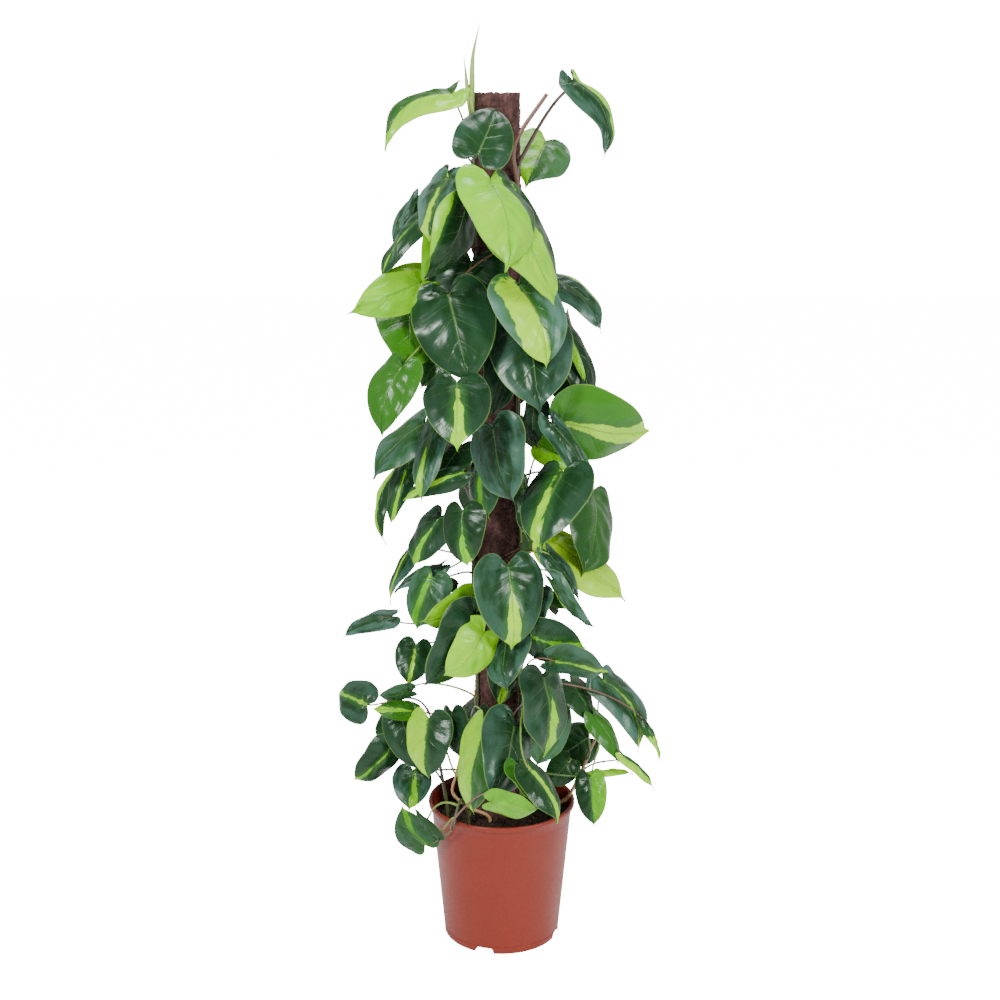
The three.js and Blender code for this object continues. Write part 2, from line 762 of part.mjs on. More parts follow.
function stalkWays(frame) {
  const ways = [];
  const offer = (stem, root, likes) => {
    const length = root.distanceTo(frame.start);
    if (length > longestStalk || length < shortestStalk) return;
    stalkArrivals.forEach((arrival) => {
      stalkBows.forEach((bow) => {
        const cost = Math.abs(length - likedStalkLength) + 0.7 * Math.abs(bow) + arrival.cost + likes;
        ways.push({ stem, root, bow, arrival, cost });
      });
    });
  };
  climbers.forEach((climber) => {
    stalkDrops.forEach((drop) => {
      const height = frame.start.z - drop;
      if (height < soilLevel + 12 || height > climber.top - 6) return;
      offer(climber.name, climberPoint(climber, height), drop < 0 ? 30 : 0);
    });
  });
  sideShoots.forEach((shoot) => {
    shootShares.forEach((share) => offer(shoot.name, shootPoint(shoot, share), 5));
  });
  return ways.sort((a, b) => a.cost - b.cost);
}

// A stalk rises from its stem, bows out and comes to the notch between the blade's lobes.
function stalkKnots(frame, way) {
  const { root, bow, arrival } = way;
  const length = root.distanceTo(frame.start);
  const outwards = new THREE.Vector3(root.x - poleX, root.y, 0).normalize();
  const aside = new THREE.Vector3(-outwards.y, outwards.x, 0);
  const end = bladePoint(frame, stalkEndAlong, 0, -stalkEndBelow);
  const rise = root
    .clone()
    .add(new THREE.Vector3(0, 0, arrival.rise * length))
    .addScaledVector(outwards, stalkLean * length)
    .addScaledVector(aside, bow);
  const arrive = end
    .clone()
    .addScaledVector(frame.along, -arrival.beyond * length)
    .addScaledVector(frame.out, -arrival.behind * length)
    .addScaledVector(aside, endBowShare * bow);
  return [root, rise, arrive, end];
}

function stalkPoints(frame, way) {
  const knots = stalkKnots(frame, way);
  return Array.from({ length: stalkSteps + 1 }, (_, k) => bezierPoint(knots, k / stalkSteps));
}

// Whether a point of a stalk keeps off the pole, the soil and the pot.
function clearOfHolder(point) {
  const fromPole = Math.hypot(point.x - poleX, point.y);
  const fromMiddle = Math.hypot(point.x, point.y);
  if (fromPole < poleRadius + stalkRadius + gap && point.z < poleTop + stalkRadius + gap) return false;
  const overRim = fromMiddle < rimRadius + rimRoom.outside && fromMiddle > rimRadius - rimRoom.inside;
  if (overRim && point.z < potHeight + rimRoom.above) return false;
  return fromMiddle > rimRadius || point.z > soilLevel + soilClearance;
}

// Chooses the cheapest clear way for a leaf's stalk, or nothing. Strictly, the stalk keeps off
// everything; otherwise it may touch its own stem's other parts.
function chooseWay(leaf, placed, owners, strictly) {
  const { frame, number } = leaf;
  const ownSamples = bladeSamples(frame, 2 * sampleSpacing);
  for (const way of stalkWays(frame)) {
    const points = straightSamples(stalkPoints(frame, way));
    const counts = (owner) => {
      if (owner === number) return false;
      return strictly || (owner !== way.stem && owners.get(owner) !== way.stem);
    };
    const clear = points.every((point) => {
      const fromRoot = point.distanceTo(way.root);
      const fromBlade = point.distanceTo(frame.start);
      if (fromRoot < stemRadius + stalkClearance) return true;
      if (!clearOfHolder(point)) return false;
      if (fromBlade > bladeFreeLength) {
        if (ownSamples.some((sample) => sample.distanceTo(point) < stalkClearance)) return false;
      }
      return !placed.meets(point, stalkClearance, counts);
    });
    if (clear) return way;
  }
  return null;
}

// Points along a chain of straight runs at about the sample spacing.
function straightSamples(points) {
  return points.slice(1).flatMap((point, index) => {
    const before = points[index];
    const steps = Math.ceil(before.distanceTo(point) / sampleSpacing);
    return Array.from({ length: steps }, (_, k) => before.clone().lerp(point, (k + 1) / steps));
  });
}

function climberPath(climber) {
  const foot = soilLevel - holeDepth;
  const steps = Math.round((climber.top - foot) / stemStep);
  return Array.from({ length: steps + 1 }, (_, k) =>
    climberPoint(climber, foot + ((climber.top - foot) * k) / steps),
  );
}

function shootPath(shoot) {
  const steps = 3 * (shoot.bends.length + 1);
  return Array.from({ length: steps + 1 }, (_, k) => shootPoint(shoot, k / steps));
}

function bareShootPath(bare) {
  const climber = climbers.find((item) => item.name === bare.stem);
  const root = climberPoint(climber, bare.height);
  const rest = bare.pixels.map((pixel) => pointAt(pixel, bare.out));
  return [root, ...rest];
}

// Frame of the leaf in one place of the rule for the far side.
function backFrame(number, attempt, ripplePhase) {
  const rule = backLeaves;
  const row = (number + 0.5) / rule.count;
  const swing = Math.sin(THREE.MathUtils.degToRad(rule.turn * number + rule.retryTurn * attempt));
  const heading = THREE.MathUtils.degToRad(rule.firstHeading + rule.spread * swing);
  const level = rule.lowest + (rule.highest - rule.lowest) * row;
  const height = level + rule.retryRise * Math.sin(1.7 * attempt);
  const reach = rule.reach * (rule.reachBelow - rule.narrowing * row) + rule.retryReach * attempt;
  const radius = reach + rule.reachSpread * (draw(number, 1) - 0.5);
  const outwards = new THREE.Vector3(Math.sin(heading), -Math.cos(heading), 0);
  const sideways = new THREE.Vector3(outwards.y, -outwards.x, 0);
  const start = outwards.clone().multiplyScalar(radius).add(new THREE.Vector3(poleX, 0, height));
  const lean = rule.lean[0] + rule.lean[1] * draw(number, 2);
  const along = outwards
    .clone()
    .multiplyScalar(Math.sin(lean))
    .addScaledVector(sideways, rule.twist * (draw(number, 3) - 0.5))
    .add(new THREE.Vector3(0, 0, -Math.cos(lean)))
    .normalize();
  const size = rule.length * (rule.lengthShare[0] + rule.lengthShare[1] * draw(number, 4));
  const tip = start.clone().addScaledVector(along, size);
  const facing = outwards
    .clone()
    .add(new THREE.Vector3(0, 0, rule.facingRise))
    .addScaledVector(sideways, rule.twist * (draw(number, 5) - 0.5));
  const bow = rule.bow * (draw(number, 6) - 0.5);
  return bladeFrame(start, tip, facing, 1, bow, ripplePhase);
}

// Places the leaves that show, each in front of those before it where they cross in the picture.
function placeSeenLeaves() {
  const picture = new DepthPicture(pictureCell);
  const poleReach = poleRadius + 2 * stemRadius + 3;
  const leaves = [];
  seenGroups.forEach(({ list, share, behindPole }) => {
    list.forEach((leaf) => {
      const choices = seenPoses.map((pose) => {
        const frame = seenFrame(leaf, share, leaves.length, pose);
        const slide = behindPole ? 1 : picture.clearShare(frame);
        return { frame, slide, cost: (1 - slide) * -eye.y + poseCost(pose) };
      });
      const { frame, slide } = choices.reduce((best, next) => (next.cost < best.cost ? next : best));
      frame.start.sub(eye).multiplyScalar(slide).add(eye);
      frame.size *= slide;
      picture.drawLeaf(frame);
      leaves.push({ number: leaves.length, frame, slide, thick: leaf.thick ?? 1 });
    });
    if (behindPole) {
      picture.drawDrum(poleX, poleReach, potHeight, poleTop);
      picture.drawDrum(0, rimRadius + 2, 0, potHeight + 2);
    }
  });
  return { seen: leaves, picture };
}

// Finds a stalk for each leaf that shows. A leaf that is left without one goes first next time.
function routeSeenStalks(leaves) {
  const fromPole = (leaf) => Math.hypot(leaf.frame.start.x - poleX, leaf.frame.start.y);
  let order = [...leaves].sort((a, b) => fromPole(a) - fromPole(b));
  let best = null;
  for (let pass = 0; pass < routePasses; pass++) {
    const placed = new PlacedPoints(placedCell);
    const owners = new Map();
    const ways = new Map();
    leaves.forEach((leaf) => {
      bladeSamples(leaf.frame, sampleSpacing).forEach((point) => placed.add(point, leaf.number));
    });
    stemPaths().forEach(({ name, path }) => {
      straightSamples(path).forEach((point) => placed.add(point, name));
    });
    const missed = [];
    order.forEach((leaf) => {
      const way =
        chooseWay(leaf, placed, owners, true) ?? chooseWay(leaf, placed, owners, false);
      if (!way) {
        missed.push(leaf);
        return;
      }
      ways.set(leaf.number, way);
      keepStalk(leaf, way, placed, owners);
    });
    if (!best || missed.length < best.missed.length) best = { placed, owners, ways, missed };
    if (missed.length === 0) break;
    order = [...missed, ...order.filter((leaf) => !missed.includes(leaf))];
  }
  leaves.forEach((leaf) => {
    leaf.way = best.ways.get(leaf.number);
  });
  return best;
}

function stemPaths() {
  return [
    ...climbers.map((climber) => ({ name: climber.name, path: climberPath(climber) })),
    ...sideShoots.map((shoot) => ({ name: shoot.name, path: shootPath(shoot) })),
    ...bareShoots.map((bare) => ({ name: bare.stem, path: bareShootPath(bare) })),
  ];
}

function keepStalk(leaf, way, placed, owners) {
  owners.set(leaf.number, way.stem);
  straightSamples(stalkPoints(leaf.frame, way))
    .filter((point) => point.distanceTo(way.root) > stemRadius)
    .forEach((point) => placed.add(point, way.stem));
}

// Fills the far side: each leaf tries its places in turn until one is clear.
function placeBackLeaves(firstNumber, picture, placed, owners) {
  const leaves = [];
  for (let index = 0; index < backLeaves.count; index++) {
    const number = firstNumber + index;
    for (let attempt = 0; attempt < backLeaves.tries; attempt++) {
      const frame = backFrame(index, attempt, number);
      if (!picture.hides(frame)) continue;
      const samples = bladeSamples(frame, sampleSpacing);
      const clear = samples.every(
        (point) => clearOfHolder(point) && !placed.meets(point, bladeClearance, () => true),
      );
      const leaf = { number, frame, slide: 1, thick: 1 };
      leaf.way = clear && chooseWay(leaf, placed, owners, true);
      if (!leaf.way) continue;
      samples.forEach((point) => placed.add(point, number));
      keepStalk(leaf, leaf.way, placed, owners);
      leaves.push(leaf);
      break;
    }
  }
  return leaves;
}

function layOutLeaves() {
  const { seen, picture } = placeSeenLeaves();
  const { placed, owners } = routeSeenStalks(seen);
  const back = placeBackLeaves(seen.length, picture, placed, owners);
  return [...seen.filter((leaf) => leaf.way), ...back];
}

// One leafy stem: the stem with its leaves, stalks and bare tips, all one body.
function leafyStem(name, leaves) {
  const climber = climbers.find((item) => item.name === name);
  const shoot = sideShoots.find((item) => item.name === name);
  const path = climber ? climberPath(climber) : shootPath(shoot);
  const thin = climber ? climberTaper : shootTaper;
  const thick = climber ? stemRadius : shoot.radius;
  const radii = path.map((_, k) => thick * (1 - (1 - thin) * (k / (path.length - 1)) ** 2));
  let solid = taperedBar(path, radii, stemSides);
  bareShoots
    .filter((bare) => bare.stem === name)
    .forEach((bare) => {
      const barePath = bareShootPath(bare);
      const loss = (1 - bareTaper) / (barePath.length - 1);
      const bareRadii = barePath.map((_, k) => bare.radius * (1 - loss * k));
      solid = solid.add(taperedBar(barePath, bareRadii, stemSides));
    });
  leaves
    .filter((leaf) => leaf.way.stem === name)
    .forEach((leaf) => {
      const points = stalkPoints(leaf.frame, leaf.way);
      const taper = (stalkRadius - stalkEndRadius) / stalkSteps;
      const stalkRadii = points.map((_, k) => leaf.thick * (stalkRadius - taper * k));
      const stalk = taperedBar(points, stalkRadii, stalkSides);
      solid = solid.add(stalk.add(bladeSolid(leaf.frame)));
    });
  return solid;
}

// The pot: tapered wall with a rolled rim, a groove over the foot ring, and a floor that
// meets the ground at the ring and at a round pad in the middle.
function potSolid() {
  const taper = (rimRadius - rimOverhang - footRadius) / (potHeight - footHeight);
  const outerAt = (height) => footRadius + taper * (height - footHeight);
  const profile = [
    [0, 0],
    [padRadius, 0],
    [padRadius + 2, floorLift],
    [footRadius - footRing - 1, floorLift],
    [footRadius - footRing, 0],
    [footRadius - 0.6, 0],
    [footRadius, footHeight - 1.4],
    [footRadius - 0.7, footHeight],
    [outerAt(footHeight + 1.6), footHeight + 1.6],
    [outerAt(potHeight - rimDepth), potHeight - rimDepth],
    [rimRadius - 0.4, potHeight - rimDepth],
    [rimRadius, potHeight - rimDepth / 2],
    [rimRadius - 1, potHeight - 0.7],
    [rimRadius - rimRound, potHeight],
    [outerAt(potHeight) - wall, potHeight - 1],
    [outerAt(footHeight) - wall - 1, potFloorTop],
    [0, potFloorTop],
  ];
  const points = profile.map(([r, z]) => new THREE.Vector2(r, z));
  const shell = new THREE.LatheGeometry(points, potSides).rotateX(Math.PI / 2);
  let solid = solidFromGeometry(shell);
  const drain = new THREE.CylinderGeometry(drainRadius, drainRadius, 20, 8).rotateX(Math.PI / 2);
  for (let k = 0; k < drainCount; k++) {
    const angle = (2 * Math.PI * (k + 0.5)) / drainCount;
    const ring = drainShare * footRadius;
    const placedDrain = drain.clone().translate(ring * Math.cos(angle), ring * Math.sin(angle), 5);
    solid = solid.subtract(solidFromGeometry(placedDrain));
  }
  const notch = new THREE.BoxGeometry(notchWidth, notchDepth, 2 * notchHeight);
  for (let k = 0; k < notchCount; k++) {
    const angle = notchTurn - Math.PI / 2 + (2 * Math.PI * k) / notchCount;
    const placedNotch = notch
      .clone()
      .translate(0, footRadius + 1.5, 0)
      .rotateZ(angle - Math.PI / 2);
    solid = solid.subtract(solidFromGeometry(placedNotch));
  }
  return solid;
}

// Potting soil: a lightly domed fill with plain holes for the pole and for each stem.
function soilSolid() {
  const taper = (rimRadius - rimOverhang - footRadius) / (potHeight - footHeight);
  const innerAt = (height) => footRadius + taper * (height - footHeight) - wall - soilRoom;
  const profile = [
    [0, soilBottom],
    [innerAt(soilBottom), soilBottom],
    [innerAt(soilLevel - soilDome), soilLevel - soilDome],
    [0.6 * rimRadius, soilLevel - soilDome / 4],
    [0, soilLevel],
  ];
  const points = profile.map(([r, z]) => new THREE.Vector2(r, z));
  const fill = new THREE.LatheGeometry(points, potSides).rotateX(Math.PI / 2);
  let solid = solidFromGeometry(fill);
  const poleHole = new THREE.CylinderGeometry(poleRadius + gap, poleRadius + gap, 400, poleSides);
  poleHole.rotateX(Math.PI / 2).translate(poleX, 0, poleFoot - gap + 200);
  solid = solid.subtract(solidFromGeometry(poleHole));
  const paths = [...climbers.map(climberPath), ...sideShoots.map(shootPath)];
  paths.forEach((path) => {
    const straight = path[1].clone().sub(path[0]).normalize();
    const below = path[0].clone().addScaledVector(straight, -gap);
    const above = path[0].clone().addScaledVector(straight, holeDepth * 1.7);
    const holeRadius = stemRadius + holeRoom;
    solid = solid.subtract(taperedBar([below, above], [holeRadius, holeRadius], stemSides));
  });
  return solid;
}

// The pole: a round wooden core in a coir sleeve that stands a little proud of it.
function poleCoreSolid() {
  const height = coreTop - poleFoot;
  const bar = new THREE.CylinderGeometry(coreRadius, coreRadius, height, poleSides);
  return solidFromGeometry(bar.rotateX(Math.PI / 2).translate(poleX, 0, poleFoot + height / 2));
}

function poleSleeveSolid() {
  const profile = [
    [coreRadius + gap, poleFoot],
    [poleRadius, poleFoot],
    [poleRadius, poleTop - sleeveChamfer],
    [poleRadius - sleeveChamfer / 2, poleTop],
    [coreRadius + gap, poleTop],
    [coreRadius + gap, poleFoot],
  ];
  const points = profile.map(([r, z]) => new THREE.Vector2(r, z));
  const sleeve = new THREE.LatheGeometry(points, poleSides).rotateX(Math.PI / 2);
  return solidFromGeometry(sleeve.translate(poleX, 0, 0));
}

function addPiece(group, name, solid, colour, roughness) {
  const material = new THREE.MeshStandardMaterial({ color: colour, roughness, metalness: 0 });
  const mesh = new THREE.Mesh(geometryFromSolid(solid), material);
  mesh.name = name;
  group.add(mesh);
}

const group = new THREE.Group();
addPiece(group, "pot", potSolid(), 0xa5503c, 0.45);
addPiece(group, "potting_soil", soilSolid(), 0x1c1611, 1);
addPiece(group, "pole_core", poleCoreSolid(), 0x6b4a35, 0.9);
addPiece(group, "pole_sleeve", poleSleeveSolid(), 0x533436, 0.95);
const leaves = layOutLeaves();
[...climbers, ...sideShoots].forEach(({ name }) => {
  addPiece(group, name, leafyStem(name, leaves), 0x2f5c2e, 0.4);
});

export default group;
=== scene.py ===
# A potted brasil philodendron on a coir pole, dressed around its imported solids. Metres, +Z up.
from math import atan2, cos, pi, radians, sin, sqrt
import bpy
import numpy as np
from numpy.linalg import norm
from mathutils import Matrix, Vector


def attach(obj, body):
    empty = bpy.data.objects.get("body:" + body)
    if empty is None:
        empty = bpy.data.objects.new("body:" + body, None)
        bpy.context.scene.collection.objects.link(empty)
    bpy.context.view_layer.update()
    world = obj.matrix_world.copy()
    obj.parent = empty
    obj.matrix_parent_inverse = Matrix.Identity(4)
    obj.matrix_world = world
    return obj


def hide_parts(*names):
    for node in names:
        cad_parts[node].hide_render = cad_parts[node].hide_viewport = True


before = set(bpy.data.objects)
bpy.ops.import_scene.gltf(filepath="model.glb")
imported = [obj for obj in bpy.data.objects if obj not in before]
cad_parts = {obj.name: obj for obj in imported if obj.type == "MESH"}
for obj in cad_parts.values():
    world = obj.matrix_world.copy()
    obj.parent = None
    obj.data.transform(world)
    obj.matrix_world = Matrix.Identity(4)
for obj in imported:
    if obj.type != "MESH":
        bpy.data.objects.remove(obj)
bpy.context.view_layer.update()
mm = 0.001
chanceOf = np.random.default_rng  # the same draws from the same seed each run

# What the solids were made by, in millimetres and shares of a blade's length
plant = dict(
    bladeThickness=0.9, halfBladeWidth=0.43, arch=0.09, droop=0.08, ripple=0.018,
    rippleRate=9, tipCurl=0.05, curlFrom=0.7, stalkRadii=(1.5, 1.0), thickStalk=1.8,
    stalkMeets=0.07, stalkBelow=0.7, stemRadius=2.8, soilLevel=166,
    poleX=-6, poleRadius=27.5, poleTop=1074, coreRadius=21, gap=0.35,
    marginX=(-0.12, -0.03, 0.25, 0.57, 0.85), marginY=(0.14, 0.34, 0.44, 0.35, 0.12),
    midribX=(0, 0.32, 0.66, 1),
)

# How closely the corners of a leafy solid have to fit what they are read as, in millimetres
reading = dict(
    roughSlack=0.02, thicknessSlack=6e-4, sideSlack=2e-3, outlineSlack=0.02, rootSlack=4,
    alike=1 - 4e-6, corners=(13, 15), numbers=140,
)

# The viewer: place in millimetres, tilt below level in degrees, focal length in pixels
viewer = dict(eye=(-2, -2002, 1074), tilt=13.8, focalPixels=1657, width=1000, sensor=36)


def addObject(name, data):
    # A new object in the scene, at the origin.
    thing = bpy.data.objects.new(name, data)
    bpy.context.scene.collection.objects.link(thing)
    return thing


def makePiece(name, points, faces, material):
    # One smooth mesh from an array of points and arrays of three- or four-cornered faces.
    mesh = bpy.data.meshes.new(name)
    loops = np.concatenate([f.ravel() for f in faces])
    sizes = np.concatenate([np.full(len(f), f.shape[1]) for f in faces])
    starts = np.concatenate([[0], np.cumsum(sizes)[:-1]])
    mesh.vertices.add(len(points))
    mesh.vertices.foreach_set("co", np.asarray(points, np.float32).ravel())
    mesh.loops.add(len(loops))
    mesh.loops.foreach_set("vertex_index", loops.astype(np.int32))
    mesh.polygons.add(len(sizes))
    mesh.polygons.foreach_set("loop_start", starts.astype(np.int32))
    mesh.polygons.foreach_set("use_smooth", np.ones(len(sizes), bool))
    mesh.update(calc_edges=True)
    mesh.validate()
    mesh.materials.append(material)
    return addObject(name, mesh)


def gridFaces(rows, columns, closed=False):
    # Faces of a grid of points; closed joins its last column to its first.
    row = np.arange(rows - 1)[:, None] * columns
    column = np.arange(columns if closed else columns - 1)[None, :]
    a, b = row + column, row + (column + 1) % columns
    return np.stack([a, b, b + columns, a + columns], axis=-1).reshape(-1, 4)


def closedFaces(rows, sides):
    # A grid's faces joined round, and fans from its first and last circle to the two points after it.
    here = np.arange(sides)
    after = (here + 1) % sides
    last = (rows - 1) * sides
    low, high = np.full(sides, rows * sides), np.full(sides, rows * sides + 1)
    fans = np.stack([after, here, low], 1), np.stack([last + here, last + after, high], 1)
    return [gridFaces(rows, sides, True), *fans]


def curveThrough(knots, count, spacing=0.0):
    # Cubics from knot to knot, with even steps between them; a slope weighs the chords at its knot by
    # their length to the power of spacing (0 plain, 0.5 centripetal).
    knots = np.asarray(knots, float)
    padded = np.vstack([2 * knots[0] - knots[1], knots, 2 * knots[-1] - knots[-2]])
    gaps = norm(np.diff(padded, axis=0), axis=1) ** spacing
    place = np.linspace(0, len(knots) - 1, count)
    index = np.minimum(place.astype(int), len(knots) - 2)
    t = (place - index)[:, None]
    p0, p1, p2, p3 = (padded[index + k] for k in range(4))
    d0, d1, d2 = (gaps[index + k][:, None] for k in range(3))
    leave = ((p1 - p0) / d0 - (p2 - p0) / (d0 + d1) + (p2 - p1) / d1) * d1
    arrive = ((p2 - p1) / d1 - (p3 - p1) / (d1 + d2) + (p3 - p2) / d2) * d1
    return (p1 + leave * t + (3 * (p2 - p1) - 2 * leave - arrive) * t ** 2
            + (leave + arrive - 2 * (p2 - p1)) * t ** 3)


def quarticThrough(knots, steps):
    # The quartic through five points at even quarters: a point's weight is a product of shares that
    # is one at its own quarter and zero at the others.
    quarters = np.arange(5) / 4
    weights = [[np.prod([(t - o) / (k - o) for o in quarters if o != k]) for k in quarters] for t in steps]
    return np.array(weights) @ np.array(knots)


def tubePoints(path, radii, sides):
    # Circles along a path: each circle's axes are carried on from the one before.
    path = np.asarray(path, float)
    along = np.gradient(path, axis=0)
    along /= norm(along, axis=1, keepdims=True)
    side = np.cross(along[0], (0.3, 0.2, 0.9) if abs(along[0, 2]) < 0.9 else (1, 0, 0))
    sideways = np.empty_like(path)
    for k, direction in enumerate(along):
        side = side - direction * side.dot(direction)
        side = side / norm(side)
        sideways[k] = side
    other = np.cross(along, sideways)
    angle = np.linspace(0, 2 * pi, sides, endpoint=False)[None, :, None]
    ring = sideways[:, None] * np.cos(angle) + other[:, None] * np.sin(angle)
    return path[:, None] + ring * np.asarray(radii)[:, None, None]


class Gatherer:
    # Collects surfaces and their attributes for one mesh.
    def __init__(self):
        self.points, self.faces, self.attributes, self.count = [], [], {}, 0

    def add(self, points, faces, **attributes):
        # Faces are counted on from the points that are already there.
        points = np.asarray(points, float).reshape(-1, 3)
        self.points.append(points)
        self.faces.extend(f + self.count for f in faces)
        for name, values in attributes.items():
            values = np.broadcast_to(np.asarray(values, float), (len(points), 3))
            self.attributes.setdefault(name, []).append(values)
        self.count += len(points)

    def addTube(self, path, radii, sides, **attributes):
        # A tube closed by a point at each end, so its faces are one closed skin.
        rings = tubePoints(path, radii, sides)
        points = np.vstack([rings.reshape(-1, 3), path[0], path[-1]])
        self.add(points, closedFaces(len(path), sides), **attributes)

    def make(self, name, material):
        # The mesh of all that was added, in the order it came.
        thing = makePiece(name, np.vstack(self.points), self.faces, material)
        for key, values in self.attributes.items():
            attribute = thing.data.attributes.new(key, "FLOAT_VECTOR", "POINT")
            attribute.data.foreach_set("vector", np.vstack(values).astype(np.float32).ravel())
        return thing


def feed(node, inputs):
    # Each input of a node is linked where a socket is given, and set where a value is.
    for key, value in inputs.items():
        if isinstance(value, bpy.types.NodeSocket):
            node.id_data.links.new(value, node.inputs[key])
        else:
            node.inputs[key].default_value = value


def put(tree, kind, inputs=None, **settings):
    # A node with its settings, then its inputs.
    node = tree.nodes.new(kind)
    for key, value in settings.items():
        setattr(node, key, value)
    feed(node, inputs or {})
    return node


def calc(operation, *values):
    # One step of arithmetic, in the tree of the first socket among its values.
    tree = next(value.id_data for value in values if isinstance(value, bpy.types.NodeSocket))
    return put(tree, "ShaderNodeMath", dict(enumerate(values)), operation=operation).outputs[0]


def times(first, second):
    # The product of two values.
    return calc("MULTIPLY", first, second)


def plus(first, second):
    # The sum of two values.
    return calc("ADD", first, second)


def timesPlus(first, second, third):
    # The product of two values, and a third on top.
    return calc("MULTIPLY_ADD", first, second, third)


def easedStep(value, low, high):
    # From 0 at low to 1 at high by 3t² − 2t³, also where low is the greater.
    inputs = {0: value, 1: low, 2: high, 3: 0.0, 4: 1.0}
    return put(value.id_data, "ShaderNodeMapRange", inputs, interpolation_type="SMOOTHSTEP").outputs[0]


def blendColour(share, first, second):
    # From the first colour to the second, straight, by a share from 0 to 1.
    first, second = ((*c, 1) if isinstance(c, tuple) else c for c in (first, second))
    inputs = {0: share, 6: first, 7: second}
    return put(share.id_data, "ShaderNodeMix", inputs, data_type="RGBA").outputs[2]


def ramp(value, colours):
    # Colours at places from 0 to 1, blended straight between them.
    node = put(value.id_data, "ShaderNodeValToRGB", {0: value})
    elements = node.color_ramp.elements
    while len(elements) < len(colours):
        elements.new(0.5)
    for k, (place, colour) in enumerate(colours):
        elements[k].position = place
        elements[k].color = (*colour, 1)
    return node.outputs[0]


def noise(place, scale, detail, roughness=0.5):
    # Smooth noise from 0 to 1, with finer and weaker layers as many as the detail.
    inputs = {"Vector": place, "Scale": scale, "Detail": detail, "Roughness": roughness}
    return put(place.id_data, "ShaderNodeTexNoise", inputs).outputs[0]


def bumped(relief, strength, distance):
    # The surface's normal turned by the slope of a relief.
    inputs = {"Height": relief, "Strength": strength, "Distance": distance}
    return put(relief.id_data, "ShaderNodeBump", inputs).outputs[0]


def newMaterial(name):
    # A material with its node tree and its Principled shader.
    material = bpy.data.materials.new(name)
    material.use_nodes = True
    return material, material.node_tree, material.node_tree.nodes["Principled BSDF"]


def onPiece(tree, stretch=None):
    # Object coordinates, scaled along each axis where a stretch is given.
    here = put(tree, "ShaderNodeTexCoord").outputs["Object"]
    if stretch:
        here = put(tree, "ShaderNodeMapping", {"Vector": here, "Scale": stretch}).outputs[0]
    return here


def makeGrainGroup():
    # Grain for every material: noise at a scale and at a finer one, and relief as their sum.
    group = bpy.data.node_groups.new("grain", "ShaderNodeTree")
    sockets = {"Place": "NodeSocketVector", "Scale": "NodeSocketFloat", "Finer": "NodeSocketFloat"}
    for name, kind in sockets.items():
        group.interface.new_socket(name=name, in_out="INPUT", socket_type=kind)
    for name in ("Coarse", "Fine", "Relief"):
        group.interface.new_socket(name=name, in_out="OUTPUT", socket_type="NodeSocketFloat")
    entry, leave = group.nodes.new("NodeGroupInput").outputs, group.nodes.new("NodeGroupOutput")
    coarse = noise(entry["Place"], entry["Scale"], 5.0, 0.68)
    fine = noise(entry["Place"], times(entry["Scale"], entry["Finer"]), 3.0, 0.6)
    feed(leave, {"Coarse": coarse, "Fine": fine, "Relief": plus(coarse, fine)})
    return group


grainGroup = makeGrainGroup()


def grain(place, scale, finer):
    # The grain group placed in a material with its own values.
    inputs = {"Place": place, "Scale": scale, "Finer": finer}
    return put(place.id_data, "ShaderNodeGroup", inputs, node_tree=grainGroup).outputs


def weldedSolid(name):
    # A solid's loose triangles with equal points made one: its points in millimetres, and its edges.
    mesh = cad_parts[name].data
    raw = np.empty(len(mesh.vertices) * 3, np.float32)
    mesh.vertices.foreach_get("co", raw)
    loops = np.empty(len(mesh.loops), np.int32)
    mesh.loops.foreach_get("vertex_index", loops)
    points, same = np.unique(raw.reshape(-1, 3), axis=0, return_inverse=True)
    corners = same.ravel()[loops].reshape(-1, 3)
    edges = np.vstack([corners[:, [0, 1]], corners[:, [1, 2]], corners[:, [2, 0]]])
    return points.astype(float) / mm, edges


def spans(points):
    # Rough distances between all points: the root of a² + b² − 2ab.
    square = (points ** 2).sum(1)
    return np.sqrt(np.maximum(square[:, None] + square[None] - 2 * (points @ points.T), 0))


def pairsAt(points, rough, distance, slack):
    # Pairs of points a given distance apart, measured again exactly.
    i, j = np.nonzero(np.triu(np.abs(rough - distance) < reading["roughSlack"], 1))
    exact = norm(points[i] - points[j], axis=1)
    keep = np.abs(exact - distance) < slack
    return i[keep], j[keep]


def bladeHeight(x, y, phase):
    # Arch along the midrib, droop to the margins, ripple along them, and a curl at the tip.
    along = np.clip(x, 0, 1)
    across = y / plant["halfBladeWidth"]
    ripple = plant["ripple"] * np.abs(across) * np.sin(plant["rippleRate"] * x + np.sign(y) + phase)
    curl = plant["tipCurl"] * np.maximum((along - plant["curlFrom"]) / (1 - plant["curlFrom"]), 0) ** 2
    return plant["arch"] * 4 * along * (1 - along) - plant["droop"] * across ** 2 + ripple - curl


def bladePoint(blade, x, y, lift):
    # A place on the blade, lifted out of it: along, across with the bow, and up by the blade's height.
    along = np.clip(x, 0, 1)
    aside = y * blade["breadth"] + blade["bow"] * 4 * along * (1 - along)
    height = bladeHeight(x, y, blade["phase"]) * blade["size"] + lift
    return (blade["start"] + np.multiply.outer(x * blade["size"], blade["along"])
            + np.multiply.outer(aside * blade["size"], blade["across"])
            + np.multiply.outer(height, blade["out"]))


